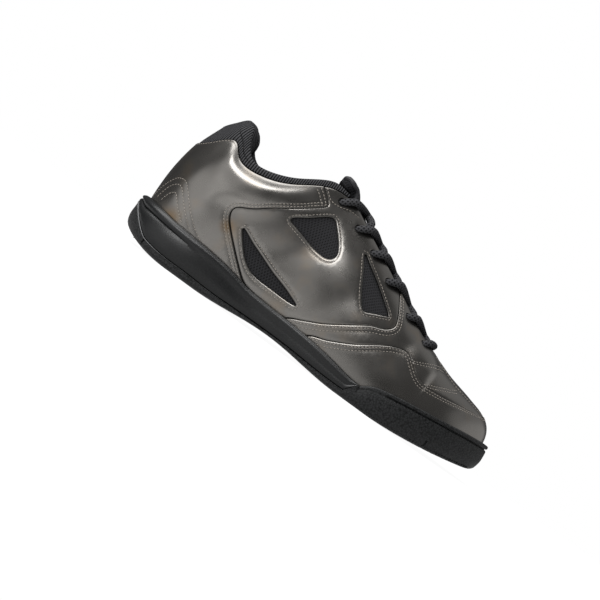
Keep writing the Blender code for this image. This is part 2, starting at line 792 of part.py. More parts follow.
# Sole: a foam midsole in a rubber outsole that wraps heel and toe
SPINE = (42.0, 240.0)
SOLE_RIBS = 23
WRAP_THICKNESS = 3.4
FOAM_CLEAR = 1.2
WRAP_CLEAR = 1.3
GROOVE_DROP = 6.6
GROOVE_DEPTH = 2.0
GROOVE_END = 66.0
LIP_DROP = 3.0
FOAM_FRONT = WRAP_RAMP[1] + 0.3
WRAP_START = WRAP_RAMP[1] + 1.0
LIP_GROOVE = 1.5
FOAM_RIM_Z = level_spline([row.x for row in FOAM_RIM], [row.z for row in FOAM_RIM])
TOE_RIM_Z = level_spline([row.x for row in TOE_RIM], [row.z for row in TOE_RIM])


def core_z(x):
    """Height of the seam between foam and rubber inside the sole."""
    return bottom(x) + RUBBER(x)


def joint_z(x):
    """Height of the same seam on the sole's side, which climbs at the heel and in front of the ball."""
    core = core_z(x)
    heel = HEEL_WRAP_RISE * np.clip((HEEL_WRAP_END - x) / HEEL_WRAP_END, 0, 1) ** 1.3
    ramp = np.clip((x - WRAP_RAMP[0]) / (WRAP_RAMP[1] - WRAP_RAMP[0]), 0, 1)
    return core + heel + ramp * (FOAM_RIM_Z(WRAP_RAMP[1]) - GAP - core)


def sole_turns():
    """Turns of the sole's ribs: even steps, and the places where a wrap starts or ends."""
    marks = [HEEL_WRAP_END, *WRAP_RAMP, FOAM_FRONT, WRAP_START - 0.3, WRAP_START, 188.0, 197.0, 204.0]
    marks += [*HEEL_FLAT, *FOREFOOT_FLAT]
    wanted = turn_of(marks)
    even = [turn for turn in np.linspace(0, math.pi, SOLE_RIBS) if np.min(abs(wanted - turn)) > 0.04]
    return np.array(sorted([*even, *wanted]))


SOLE_TURNS = sole_turns()
ROUND_TRIP = [(turn, LATERAL) for turn in SOLE_TURNS] + [(turn, MEDIAL) for turn in SOLE_TURNS[-2:0:-1]]


def beside_upper(turn, side, z, clear):
    """Plan point this far outside the upper's form at a height."""
    heights = np.linspace(0, 0.7, 40)
    points = form(np.full(40, turn), side, heights)
    place = np.array([np.interp(z, points[:, 2], points[:, k]) for k in range(2)])
    return place + outward(np.array([turn]), side)[0] * clear


def loft(profiles, closed_profile=False, closed_path=True):
    """Faces between profiles of equal length, with ends capped where the path is open."""
    profiles = np.asarray(profiles, float)
    count, size = profiles.shape[:2]
    faces = []
    for i in range(count if closed_path else count - 1):
        j = (i + 1) % count
        for k in range(size if closed_profile else size - 1):
            n = (k + 1) % size
            faces.append((i * size + k, i * size + n, j * size + n, j * size + k))
    if not closed_path:
        faces.append(tuple(range(size)))
        faces.append(tuple((count - 1) * size + k for k in range(size)))
    return profiles.reshape(-1, 3), faces


def rib_profile(turn, side, steps):
    """Points of one rib of the sole: plan points or insets from the outline, each with a height."""
    turns = np.array([turn])
    points = []
    for place, z in steps:
        if np.isscalar(place):
            place = plan(turns, side, [place])[0]
        points.append((place[0], place[1], z(place[0]) if callable(z) else z))
    return points


def spine_point(x):
    x = min(max(x, SPINE[0]), SPINE[1])
    return np.array([x, centre_y(x)])


def foam_profile(turn, side):
    x = LENGTH * (1 + math.cos(turn)) / 2
    spine = spine_point(x)
    foot = float(INSET(turn)) - 0.8
    if abs(x - FOAM_FRONT) < 0.01:
        inner = 0.9 + WRAP_THICKNESS
        step = [(inner, float(joint_z(x)))] * 10
        steps = [(spine, FLOOR), (foot, FLOOR), *step, (inner, core_z), (spine, core_z)]
        return rib_profile(turn, side, steps)
    if x > FOAM_FRONT:
        edge = [(foot, FLOOR)] * 6 + [(foot, core_z)] * 6
        return rib_profile(turn, side, [(spine, FLOOR), *edge, (spine, core_z)])
    rim = float(FOAM_RIM_Z(x))
    floor = float(FLOOR(plan(np.array([turn]), side, [foot])[0, 0]))
    joint = float(joint_z(x))
    groove = max(rim - GROOVE_DROP, joint + 0.45 * (rim - joint))
    depth = GROOVE_DEPTH * float(smooth_step((GROOVE_END - x) / 24.0))
    steps = [
        (spine, FLOOR),
        (beside_upper(turn, side, floor + 0.2, FOAM_CLEAR), FLOOR),
        (beside_upper(turn, side, (floor + rim) / 2, FOAM_CLEAR), (floor + rim) / 2),
        (beside_upper(turn, side, rim, FOAM_CLEAR), rim),
        (1.6, rim),
        (0.5, rim - 0.25 * (rim - groove)),
        (0.5, groove + 0.2 * (rim - groove)),
        (0.5 + depth, groove),
        (0.5, groove - 0.15 * (groove - joint)),
        (0.0, (groove + joint) / 2),
        (0.8, joint),
        (0.8 + WRAP_THICKNESS, joint),
        (0.8 + WRAP_THICKNESS, core_z),
        (spine, core_z),
    ]
    return rib_profile(turn, side, steps)


def rubber_profile(turn, side):
    x = LENGTH * (1 + math.cos(turn)) / 2
    spine = spine_point(x)
    wrapped = x > WRAP_START - 0.01
    low = float(bottom(x))

    def core(at):
        return core_z(at) - GAP

    if wrapped:
        rim = float(TOE_RIM_Z(x))
        foot = float(INSET(turn)) - WRAP_CLEAR
        floor = float(FLOOR(plan(np.array([turn]), side, [foot])[0, 0]))
        groove = rim - LIP_DROP
        cut = LIP_GROOVE * float(smooth_step((x - 206.0) / 8.0))
        middle = (low + groove) / 2
        wall = [
            (foot, core),
            (beside_upper(turn, side, floor, WRAP_CLEAR), floor),
            (beside_upper(turn, side, (floor + rim) / 2, WRAP_CLEAR), (floor + rim) / 2),
            (beside_upper(turn, side, rim, WRAP_CLEAR), rim),
            (1.8, rim),
            (1.0, groove + 1.2),
            (1.0 + cut, groove),
            (0.7, groove - 1.2),
            (0.0, middle),
        ]
    else:
        joint = float(joint_z(x)) - GAP
        inner = 0.8 + WRAP_THICKNESS - GAP
        middle = 0.5 * (low + joint)
        wall = [
            (inner, core),
            (inner, joint),
            (inner, joint),
            (inner, joint),
            (0.7, joint),
            (0.5, joint - 0.15 * (joint - middle)),
            (0.4, joint - 0.35 * (joint - middle)),
            (0.3, joint - 0.6 * (joint - middle)),
            (0.0 if x < 4 else 0.3, middle),
        ]
    lift = min(2.4, 0.5 * (middle - low))
    sole = [(1.4, low + lift), (3.6, lambda at: bottom(at) + 0.5), (6.6, bottom), (spine, bottom)]
    return rib_profile(turn, side, [(spine, core), *wall, *sole])


build("midsole", *loft([foam_profile(*place) for place in ROUND_TRIP]), FOAM_BLACK)
outsole = build("outsole", *loft([rubber_profile(*place) for place in ROUND_TRIP]), RUBBER_BLACK)

# Flex grooves across the tread, two of which run up the sole's side as notches
FLEX_GROOVES = (21.5, 76.0, 172.0, 196.0, 222.0, 249.5)
NOTCH_TOPS = {21.5: 7.6, 249.5: 10.0}
GROOVE_WIDTH = 1.8
TREAD_DEPTH = 1.6
NOTCH_DEPTH = 2.2
NOTCH_WIDTH = 1.4
GROOVE_MARGIN = 6.2
CUTTER_DROP = 5.0


def groove_box(x):
    """Low and high corner of a groove across the tread, which leaves the sole's edge whole."""
    near, far = sorted(plan(turn_of([x]), side, [GROOVE_MARGIN])[0, 1] for side in SIDES)
    half = GROOVE_WIDTH / 2
    return (x - half, near, -CUTTER_DROP), (x + half, far, float(bottom(x)) + TREAD_DEPTH)


def notch_box(x, side):
    """Low and high corner of a notch in the sole's edge."""
    edge = outline(turn_of([x]), side)[0, 1]
    near, far = sorted((edge - side * CUTTER_DROP, edge + side * NOTCH_DEPTH))
    half = NOTCH_WIDTH / 2
    return (x - half, near, -CUTTER_DROP - 1.0), (x + half, far, NOTCH_TOPS[x])


def cut_boxes(thing, name, spans):
    """Takes a hidden cutter made of boxes out of a part."""
    mesh = bpy.data.meshes.new(name)
    body = bmesh.new()
    for low, high in spans:
        low, high = np.array(low), np.array(high)
        place = Matrix.Translation(((low + high) / 2 + SHIFT) * MM)
        bmesh.ops.create_cube(body, size=1.0, matrix=place @ Matrix.Diagonal((*(high - low) * MM, 1.0)))
    body.to_mesh(mesh)
    body.free()
    cutter = bpy.data.objects.new(name, mesh)
    CUTTERS.objects.link(cutter)
    cutter.hide_render = True
    cutter.display_type = "WIRE"
    taken = thing.modifiers.new(name, "BOOLEAN")
    taken.operation = "DIFFERENCE"
    taken.solver = "EXACT"
    taken.object = cutter


cut_boxes(outsole, "flex_groove_cutter", [groove_box(x) for x in FLEX_GROOVES])
cut_boxes(outsole, "notch_cutter", [notch_box(x, side) for x in NOTCH_TOPS for side in SIDES])

# Insole, which lies loose on the midsole's floor
def insole_profile(turn, side):
    x = LENGTH * (1 + math.cos(turn)) / 2
    spine = spine_point(x)
    edge = float(INSET(turn)) - WALL_INNER + INSOLE_CLEAR

    def under(at):
        return FLOOR(at) + GAP

    def over(at):
        return FLOOR(at) + GAP + INSOLE_THICKNESS

    return rib_profile(turn, side, [(spine, over), (edge + 1.5, over), (edge, under), (spine, under)])


build("insole", *loft([insole_profile(*place) for place in ROUND_TRIP[::2]]), INSOLE_CLOTH)

# Padded collar with its heel tab, standing in the upper's top edge
Collar = namedtuple("Collar", "foot_x rise pad depth")
COLLAR = [
    Collar(104, 4.6, 1.6, 12.0),
    Collar(96, 6.0, 2.6, 16.0),
    Collar(84, 6.2, 5.0, 26.0),
    Collar(60, 5.8, 7.0, 32.0),
    Collar(42, 6.3, 8.5, 34.0),
    Collar(34, 8.6, 10.0, 36.0),
    Collar(28, 11.0, 12.0, 36.0),
    Collar(21, 13.6, 14.0, 36.0),
    Collar(16, 15.8, 14.5, 36.0),
    Collar(10, 19.5, 15.0, 34.0),
    Collar(6, 26.4, 15.0, 32.0),
    Collar(0, 36.0, 15.0, 28.0),
]
ROLL_BASE = 1.6
ROLL_GROWTH = 0.08
TAB_LEAN = 0.007
PAD_SHARE = 0.5
PAD_SLOPE = 0.45
COLLAR_TURNS = RIB_TURNS[RIB_TURNS > COLLAR_TURN - 1e-6]
COLLAR_RISE, COLLAR_PAD, COLLAR_DEPTH = (column(COLLAR, "foot_x", field) for field in Collar._fields[1:])


def collar_ring(turn, side):
    """One section of the collar: a roll above the leather's edge and a pad inside it, short of the middle."""
    rise, pad, depth = (float(size(turn)) for size in (COLLAR_RISE, COLLAR_PAD, COLLAR_DEPTH))
    turns = np.array([turn])
    rib = rib_points(turns, side)
    top = rib[3][0]
    up = (rib[3] - rib[2])[0]
    up = up / np.linalg.norm(up)
    length = 1.1 * np.linalg.norm(rib[3] - rib[0])
    out = form_normal(turns, side, np.array([1.0]))[0]
    inward = np.append(-outward(turns, side)[0], 0.0)
    inner = WALL_INNER - 2.5 * GAP
    roll = ROLL_BASE + ROLL_GROWTH * rise
    steps = [
        (inner, -depth),
        (inner, -0.5 * depth),
        (inner, 0.5),
        (-0.4, 0.5),
        (-0.1, 0.55 * rise),
        (-0.4 * roll, rise - 0.5 * roll),
        (-1.2 * roll, rise),
        (inner - 0.45 * pad, rise - 0.2),
        (inner - 0.92 * pad, 0.9 * rise - 2.2),
        (inner - pad, -0.18 * depth),
        (inner - 0.75 * pad, -0.55 * depth),
        (inner - 0.9, -depth),
    ]
    points = []
    for offset, above in steps:
        wall = max(offset, inner)
        if above > 0:
            place = top + up * above + inward * TAB_LEAN * above**2 + out * wall
        else:
            place = offset_form(turns, side, np.array([1 + above / length]), np.array([wall]))[0]
        fall = PAD_SLOPE if above > 0 else 0.0
        moved = place + (inward - np.array([0, 0, fall])) * (wall - offset)
        moved[1] = -side * max(-side * moved[1], -side * place[1] * PAD_SHARE)
        points.append(moved)
    return points


rings = [collar_ring(turn, LATERAL) for turn in COLLAR_TURNS]
rings += [collar_ring(turn, MEDIAL) for turn in COLLAR_TURNS[-2::-1]]
build("collar", *loft(rings, closed_profile=True, closed_path=False), TEXTILE)

# Tongue: under the eyestays from the throat's end, then free above them
Tongue = namedtuple("Tongue", "x z reach sink thickness")
TONGUE = [
    Tongue(232, 52.2, 0.16, 4.4, 2.0),
    Tongue(222, 56.8, 0.18, 4.4, 2.6),
    Tongue(206, 65.2, 0.18, 4.2, 3.4),
    Tongue(190, 73.2, 0.17, 4.2, 3.8),
    Tongue(168, 85.4, 0.16, 4.2, 4.0),
    Tongue(150, 95.0, 0.15, 4.2, 4.2),
    Tongue(136, 103.0, 0.12, 4.8, 4.6),
    Tongue(124, 111.4, 0.06, 6.6, 5.0),
]
Tab = namedtuple("Tab", "x z half droop thickness")
TONGUE_TAB = [
    Tab(118.8, 117.6, 13.5, 2.6, 8.0),
    Tab(113.6, 121.4, 18.0, 3.0, 10.6),
    Tab(109.4, 122.9, 17.5, 3.0, 10.4),
    Tab(107.0, 122.0, 16.0, 3.0, 7.0),
]
TAB_FRONT = np.array([0.55, 0.0, 0.835])
DENSE_TURNS = np.linspace(0, math.pi, 600)
DENSE_TOPS = TOP_X(DENSE_TURNS)


def tongue_ring(row):
    """One section of the tongue where the eyestays hold it down."""
    turn = float(np.interp(-row.x, -DENSE_TOPS, DENSE_TURNS))
    turns = np.full(4, turn)
    opened = turn > THROAT_TURN
    heights = 1 - row.reach * np.array([1.0, 0.5, 0.0 if opened else 0.25, 0.0 if opened else 0.08])
    centre = np.array([row.x, centre_y(row.x), row.z])
    outer = {side: offset_form(turns, side, heights, np.full(4, -row.sink)) for side in SIDES}
    sinks = row.sink + row.thickness * np.array([0.45, 0.8, 1.0, 1.0])
    inner = {side: offset_form(turns, side, heights, -sinks) for side in SIDES}
    under = centre - TAB_FRONT * row.thickness
    for side in SIDES:
        if opened:
            swell = 0.12 * abs(centre[2] - outer[side][2][2])
            outer[side][3] = 0.45 * outer[side][2] + 0.55 * centre + TAB_FRONT * swell
            inner[side][3] = 0.45 * inner[side][2] + 0.55 * under
    over = [*outer[LATERAL], centre, *outer[MEDIAL][::-1]]
    below = [*inner[LATERAL], under, *inner[MEDIAL][::-1]]
    return over + below[::-1]


def tab_ring(row):
    """One section of the tongue's free end."""
    centre = np.array([row.x, centre_y(row.x), row.z])
    across = np.array([-1.0, -0.88, -0.66, -0.36, 0.0, 0.36, 0.66, 0.88, 1.0])
    over = [centre + np.array([0, row.half * u, 0]) - TAB_FRONT * row.droop * u * u for u in across]
    below = [
        point - TAB_FRONT * row.thickness * (1 - 0.5 * abs(u) ** 3) for point, u in zip(over, across)
    ]
    return over + below[::-1]


rings = [tongue_ring(row) for row in TONGUE] + [tab_ring(row) for row in TONGUE_TAB]
build("tongue", *loft(rings, closed_profile=True, closed_path=False), TEXTILE)

# Laces: a bar across the lowest eyelets and a crossing above each pair
LACE_STEPS = 6
LACE_LIFT = VAMP_OUTER + LACE_RADIUS + 0.5
LACE_LEADS = (0.06, 0.06, 0.06, 0.06, 0.05, 0.06)
TONGUE_X = [row.x for row in TONGUE[::-1]]
TONGUE_Z = [row.z for row in TONGUE[::-1]]


def tongue_top(x):
    return float(np.interp(x, TONGUE_X, TONGUE_Z))


def lace_start(index, side):
    """Points where a lace leaves an eyelet and, further to the toe, runs over the throat's edge."""
    turn, height = locate(EYELETS[index], side)
    turns = np.array([turn, turn - LACE_LEADS[index]])
    heights = np.array([height, 1.0])
    return list(offset_form(turns, side, heights, np.array([LACE_LIFT, LACE_LIFT + 0.4])))


def smooth_space(points):
    """Points along a smooth curve through places in space."""
    points = np.asarray(points, float)
    padded = np.concatenate([2 * points[:1] - points[1:2], points, 2 * points[-1:] - points[-2:-1]])
    return through(padded, np.linspace(0, len(points) - 1, LACE_STEPS + 1))


def lace_cord(name, path, collection):
    """A round cord along a path, from a bevelled curve turned into a closed mesh."""
    curve = bpy.data.curves.new(name, "CURVE")
    curve.dimensions = "3D"
    curve.bevel_depth = LACE_RADIUS * MM
    curve.bevel_resolution = 2
    curve.use_fill_caps = True
    spline = curve.splines.new("POLY")
    spline.points.add(len(path) - 1)
    for point, place in zip(spline.points, (path + SHIFT) * MM):
        point.co = (*place, 1.0)
    guide = bpy.data.objects.new(name + "_guide", curve)
    collection.objects.link(guide)
    mesh = bpy.data.meshes.new_from_object(guide.evaluated_get(bpy.context.evaluated_depsgraph_get()))
    bpy.data.objects.remove(guide)
    body = bmesh.new()
    body.from_mesh(mesh)
    bmesh.ops.remove_doubles(body, verts=body.verts, dist=MERGE)
    bmesh.ops.recalc_face_normals(body, faces=body.faces)
    body.to_mesh(mesh)
    body.free()
    mesh.name = name
    mesh.materials.clear()
    mesh.materials.append(LACE)
    cord = bpy.data.objects.new(name, mesh)
    collection.objects.link(cord)
    return cord


def crossing_path(index, side):
    start = lace_start(index, side)
    far = lace_start(index + 1, -side)[1]
    x = (start[1][0] + far[0]) / 2
    middle = np.array([x, centre_y(x), tongue_top(x) + LACE_RADIUS + 1.0])
    stop_x = far[0] - 4.0
    stop_y = centre_y(stop_x) + 0.55 * (far[1] - centre_y(stop_x))
    stop = np.array([stop_x, stop_y, tongue_top(stop_x) + LACE_RADIUS + 0.5])
    return smooth_space([*start, middle, stop])


def bar_path(index):
    first = lace_start(index, LATERAL)
    last = lace_start(index, MEDIAL)
    middle = 0.5 * (first[1] + last[1])
    middle[2] = max(middle[2], tongue_top(middle[0]) + LACE_RADIUS + 0.6) + 0.6
    return smooth_space([*first, middle, *last[::-1]])


lace_cord("lace_bar", bar_path(len(EYELETS) - 1), PARTS)
for index in range(len(EYELETS) - 1):
    crossing = lace_cord(f"lace_crossing_{index + 1}", crossing_path(index, LATERAL), PARTS)
    other = lace_cord(f"lace_return_{index + 1}", crossing_path(index, MEDIAL), CUTTERS)
    other.hide_render = True
    other.display_type = "WIRE"
    join = crossing.modifiers.new("join_crossing", "BOOLEAN")
    join.operation = "UNION"
    join.solver = "EXACT"
    join.object = other
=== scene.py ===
# %% [markdown]
# # An indoor soccer shoe in metallic leather
# A low right shoe stands empty on its black sole. Its upper is a dark mesh shell under panels of gunmetal
# leather, with a ribbed collar, a soft tongue and round laces. The solids of the same shoe are loaded first,
# because every piece that is made here has to lie where its solid lies.

# %% Load the solids
import json
import math
from collections import namedtuple

import bmesh
import bpy
import numpy as np
from mathutils import Matrix, Vector
from mathutils.geometry import delaunay_2d_cdt
from mathutils.kdtree import KDTree

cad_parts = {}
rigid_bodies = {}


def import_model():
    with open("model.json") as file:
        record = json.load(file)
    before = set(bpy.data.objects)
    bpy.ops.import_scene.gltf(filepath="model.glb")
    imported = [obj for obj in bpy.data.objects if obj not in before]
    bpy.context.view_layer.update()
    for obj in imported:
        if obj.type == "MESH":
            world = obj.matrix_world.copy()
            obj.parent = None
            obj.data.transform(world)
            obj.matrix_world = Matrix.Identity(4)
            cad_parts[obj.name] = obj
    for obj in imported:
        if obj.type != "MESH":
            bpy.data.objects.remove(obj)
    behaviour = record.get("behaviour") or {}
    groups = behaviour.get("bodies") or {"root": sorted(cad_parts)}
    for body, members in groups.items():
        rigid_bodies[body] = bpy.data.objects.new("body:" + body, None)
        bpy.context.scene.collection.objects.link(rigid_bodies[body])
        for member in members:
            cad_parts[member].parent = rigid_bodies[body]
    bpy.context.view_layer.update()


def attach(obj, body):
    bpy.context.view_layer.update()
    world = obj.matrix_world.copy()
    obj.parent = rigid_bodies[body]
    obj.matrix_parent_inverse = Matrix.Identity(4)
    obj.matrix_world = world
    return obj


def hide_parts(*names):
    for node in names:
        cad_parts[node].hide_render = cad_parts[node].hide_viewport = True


for old in list(bpy.data.objects):
    bpy.data.objects.remove(old)
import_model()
MM = 0.001

# %% [markdown]
# ## The form of the upper
# A shoe is built on a last, and its upper is one smooth skin over it. The skin could be sculpted, but here
# it is a rule: a curved rib stands at each turn round the sole, 0 at the toe and pi at the heel, and tables
# of millimetres say where each rib starts and ends. The same tables made the solids, so pieces cut from this
# form fit them. Heights are from the floor and x is from the back of the heel.

# %% Tables of the form
LENGTH = 292.0
TOE_RADIUS = 30.0
HEEL_RADIUS = 31.0
TOE_SWING = 7.0
SWING_START = 140.0
HEEL_FLAT = (45.0, 66.0)
FOREFOOT_FLAT = (182.0, 207.0)
HEEL_LIFT = 10.0
HEEL_CURVE = 2.2
ARCH_LIFT = 4.0
TOE_SPRING = 10.5
TOE_CURVE = 1.6
GAP = 0.3
MEDIAL_RISE = 2.5
RISE_TURN = 0.3
FALL_TURN = 0.5
THROAT_ROUND = 0.16
THROAT_BLEND = 0.25
LATERAL = 1
MEDIAL = -1
SIDES = (LATERAL, MEDIAL)


def table(fields, rows):
    """Rows of a table with named fields."""
    row_of = namedtuple("Row", fields)
    return [row_of(*row) for row in rows]


WIDTHS = table("x lateral medial", [
    (278, 25.5, 28.5), (260, 39.0, 39.5), (235, 49.5, 46.5), (210, 53.0, 46.5), (180, 50.0, 40.0),
    (140, 43.0, 33.5), (100, 38.5, 33.5), (60, 38.5, 36.5), (30, 36.0, 35.5), (12, 26.5, 26.5),
])
SOLE = table("x floor inset rubber", [
    (292, 16.5, 7.0, 5.0), (260, 12.4, 6.6, 5.0), (230, 10.0, 6.4, 5.0), (191, 9.6, 6.3, 5.2),
    (150, 12.0, 6.2, 3.4), (120, 14.6, 6.2, 2.4), (100, 16.5, 6.2, 3.4), (60, 20.2, 6.4, 6.0),
    (21, 21.3, 6.8, 6.0), (0, 21.5, 7.0, 6.0),
])
RIBS = table("name x top_x top_half top_z lean belly pitch crown", [
    ("toe", 292, 266.0, 12.0, 47.6, 8, 0.50, 0, 0.50),
    ("toe_side", 284, 262.0, 12.0, 48.6, 8, 0.48, 0, 0.49),
    ("toe_box", 262, 250.0, 12.0, 51.6, 9, 0.42, 0, 0.46),
    ("ball", 243, 238.0, 12.0, 54.7, 9, 0.38, 4, 0.44),
    ("throat_end", 228, 226.5, 12.5, 58.6, 8, 0.36, 10, 0.42),
    ("throat_low", 213, 213.5, 13.0, 62.7, 7, 0.36, 18, 0.40),
    ("eyelet_5", 192, 195.3, 14.5, 71.2, 6, 0.36, 24, 0.38),
    ("eyelet_3", 162, 167.5, 16.0, 86.0, 5, 0.36, 30, 0.36),
    ("eyelet_2", 128, 136.9, 17.0, 101.3, 4, 0.36, 38, 0.34),
    ("throat_top", 104, 114.2, 19.0, 109.8, 4, 0.36, 52, 0.32),
    ("collar_front", 92, 101.6, 25.0, 107.9, 4, 0.36, 66, 0.32),
    ("collar_mid", 70, 79.4, 32.0, 94.4, 4, 0.35, 78, 0.32),
    ("collar_dip", 47, 56.2, 34.0, 86.0, 5, 0.35, 82, 0.33),
    ("collar_rear", 28, 40.5, 31.5, 88.1, 5, 0.35, 80, 0.34),
    ("tab_corner", 16, 31.8, 27.0, 95.5, 5, 0.35, 76, 0.35),
    ("tab_side", 6, 19.8, 18.5, 87.7, 5, 0.35, 76, 0.35),
    ("heel", 0, 9.5, 0.0, 80.6, 5, 0.36, 76, 0.36),
])
print(len(RIBS), "ribs from toe to heel")

# %% Splines of the tables
def level_spline(knots, values):
    """A cubic spline whose two ends run level, so that left and right meet without a crease."""
    x = np.asarray(knots, float)
    y = np.asarray(values, float)
    step = np.diff(x)
    rise = np.diff(y) / step
    last = len(x) - 1
    system = np.zeros((last + 1, last + 1))
    target = np.zeros(last + 1)
    system[0, :2] = 2 * step[0], step[0]
    target[0] = 6 * rise[0]
    system[last, last - 1 :] = step[-1], 2 * step[-1]
    target[last] = -6 * rise[-1]
    for i in range(1, last):
        system[i, i - 1 : i + 2] = step[i - 1], 2 * (step[i - 1] + step[i]), step[i]
        target[i] = 6 * (rise[i] - rise[i - 1])
    bend = np.linalg.solve(system, target)

    def at(t):
        t = np.clip(t, x[0], x[-1])
        i = np.clip(np.searchsorted(x, t) - 1, 0, last - 1)
        after = x[i + 1] - t
        before = t - x[i]
        cubic = (bend[i] * after**3 + bend[i + 1] * before**3) / (6 * step[i])
        left = (y[i] / step[i] - bend[i] * step[i] / 6) * after
        right = (y[i + 1] / step[i] - bend[i + 1] * step[i] / 6) * before
        return cubic + left + right

    return at


def smooth_step(t):
    t = np.clip(t, 0.0, 1.0)
    return t * t * (3 - 2 * t)


def turn_of(x):
    """The turn round the sole at which its outline has reached x."""
    return np.arccos(np.clip(2 * np.asarray(x, float) / LENGTH - 1, -1, 1))


def by_turn(rows, field):
    """A column of a table as a smooth function of the turn."""
    return level_spline(turn_of([row.x for row in rows]), [getattr(row, field) for row in rows])


def by_x(rows, field):
    """A column of a table as a smooth function of x."""
    rows = sorted(rows)
    return level_spline([row.x for row in rows], [getattr(row, field) for row in rows])


def fullness(rows, field, toe=None, heel=None):
    """Half width over the half width of an ellipse of the same length, which stays even at both ends."""
    turns = turn_of([row.x for row in rows])
    inner = [getattr(row, field) / math.sin(turn) for row, turn in zip(rows, turns)]
    return level_spline([0.0, *turns, math.pi], [toe or inner[0], *inner, heel or inner[-1]])


SOLE_ENDS = [math.sqrt(radius * LENGTH / 2) for radius in (TOE_RADIUS, HEEL_RADIUS)]
FULLNESS = {side: fullness(WIDTHS, field, *SOLE_ENDS) for side, field in zip(SIDES, ("lateral", "medial"))}
FLOOR = by_x(SOLE, "floor")
RUBBER = by_x(SOLE, "rubber")
INSET = by_turn(SOLE, "inset")
RIB_FIELDS = ("top_x", "top_z", "lean", "belly", "pitch", "crown")
TOP_X, TOP_Z, LEAN, BELLY, PITCH, CROWN = (by_turn(RIBS, field) for field in RIB_FIELDS)
TOP_FULLNESS = fullness(RIBS[1:-1], "top_half")
OPENING = [float(turn_of(row.x)) for row in RIBS if row.name in ("throat_end", "throat_top")]
THROAT_TURN, COLLAR_TURN = OPENING
print("the throat opens at turn", round(THROAT_TURN, 3), "and the collar starts at", round(COLLAR_TURN, 3))

# %% [markdown]
# The next helpers turn a turn, a side and a height into a point. Height 0 is where the upper meets the sole
# and 1 is its top edge. A normal comes from two small steps along the form, and an offset along it gives the
# shell, the lining and each panel its own thickness.

# %% Points of the form
def unit(arrows):
    return arrows / np.linalg.norm(arrows, axis=-1, keepdims=True)


def centre_y(x):
    return TOE_SWING * smooth_step((x - SWING_START) / (LENGTH - SWING_START))


def outline_x(turn):
    return LENGTH * (1 + np.cos(turn)) / 2


def outline(turn, side):
    """Plan points of the sole's outer line."""
    x = outline_x(turn)
    y = centre_y(x) - side * FULLNESS[side](turn) * np.sin(turn)
    return np.stack([x, y], axis=-1)


def outward(turn, side):
    """Plan direction square to the sole's outer line."""
    small = 1e-3
    turn = np.clip(turn, 0.0, math.pi)
    ahead = outline(np.minimum(turn + small, math.pi), side)
    along = ahead - outline(np.maximum(turn - small, 0.0), side)
    across = np.stack([along[..., 1], -along[..., 0]], axis=-1) * -side
    ends = (turn < small) | (turn > math.pi - small)
    across[ends] = np.stack([np.cos(turn), np.zeros_like(turn)], axis=-1)[ends]
    return unit(across)


def plan(turn, side, inset):
    return outline(turn, side) - outward(turn, side) * np.asarray(inset)[..., None]


def plan_point(turn, side, inset):
    return plan(np.array([turn]), side, [inset])[0]


def bottom(x):
    """Underside of the sole: two flats on the floor, an arch between them, and a rise at either end."""
    heel = HEEL_LIFT * np.clip((HEEL_FLAT[0] - x) / HEEL_FLAT[0], 0, 1) ** HEEL_CURVE
    across_arch = np.clip((x - HEEL_FLAT[1]) / (FOREFOOT_FLAT[0] - HEEL_FLAT[1]), 0, 1)
    arch = ARCH_LIFT * np.sin(math.pi * across_arch) ** 2
    toe = TOE_SPRING * np.clip((x - FOREFOOT_FLAT[1]) / (LENGTH - FOREFOOT_FLAT[1]), 0, 1) ** TOE_CURVE
    return heel + arch + toe


def foot_of(turn, side):
    place = plan(turn, side, INSET(turn))
    return np.concatenate([place, (FLOOR(place[..., 0]) + GAP)[..., None]], axis=-1)


def top_of(turn, side):
    """Upper end of each rib: the ridge of the vamp, then the throat's edge, then the collar's."""
    x = TOP_X(turn)
    opened = np.clip((turn - THROAT_TURN) / THROAT_ROUND, 0, 1)
    half = TOP_FULLNESS(turn) * np.sin(turn) * np.sqrt(1 - (1 - opened) ** 2)
    rise = smooth_step((turn - COLLAR_TURN) / RISE_TURN) * smooth_step((math.pi - turn) / FALL_TURN)
    z = TOP_Z(turn) + (MEDIAL_RISE * rise if side == MEDIAL else 0.0)
    return np.stack([x, centre_y(x) - side * half, z], axis=-1)


def rib_points(turn, side):
    """The four control points of the rib at this turn."""
    turn = np.asarray(turn, float)
    foot = foot_of(turn, side)
    top = top_of(turn, side)
    out = outward(turn, side)
    chord = np.linalg.norm(top - foot, axis=-1, keepdims=True)
    lean = np.radians(LEAN(turn))[..., None]
    start = np.concatenate([out * np.sin(lean), np.cos(lean)], axis=-1)
    small = 0.01
    near = np.maximum(turn, 2 * small)
    slope = (TOP_Z(near + small) - TOP_Z(near - small)) / (TOP_X(near + small) - TOP_X(near - small))
    over = unit(np.stack([-out[..., 0], -out[..., 1], -slope * out[..., 0]], axis=-1))
    pitch = np.radians(PITCH(turn))[..., None]
    rising = np.concatenate([-out * np.cos(pitch), np.sin(pitch)], axis=-1)
    opened = smooth_step((turn - THROAT_TURN) / THROAT_BLEND)[..., None]
    stop = unit(over * (1 - opened) + rising * opened)
    low = foot + start * BELLY(turn)[..., None] * chord
    high = top - stop * CROWN(turn)[..., None] * chord
    return foot, low, high, top


def form(turn, side, height):
    """Point of the upper's outer form, height 0 at the sole and 1 at the top edge."""
    a, b, c, d = rib_points(turn, side)
    h = np.asarray(height, float)[..., None]
    k = 1 - h
    return a * k**3 + 3 * b * k * k * h + 3 * c * k * h * h + d * h**3


def form_normal(turn, side, height):
    small = 2e-3
    turn = np.clip(turn, small, math.pi - small)
    height = np.clip(height, small, 1 - small)
    along = form(turn + small, side, height) - form(turn - small, side, height)
    up = form(turn, side, height + small) - form(turn, side, height - small)
    return unit(np.cross(up, along) * side)


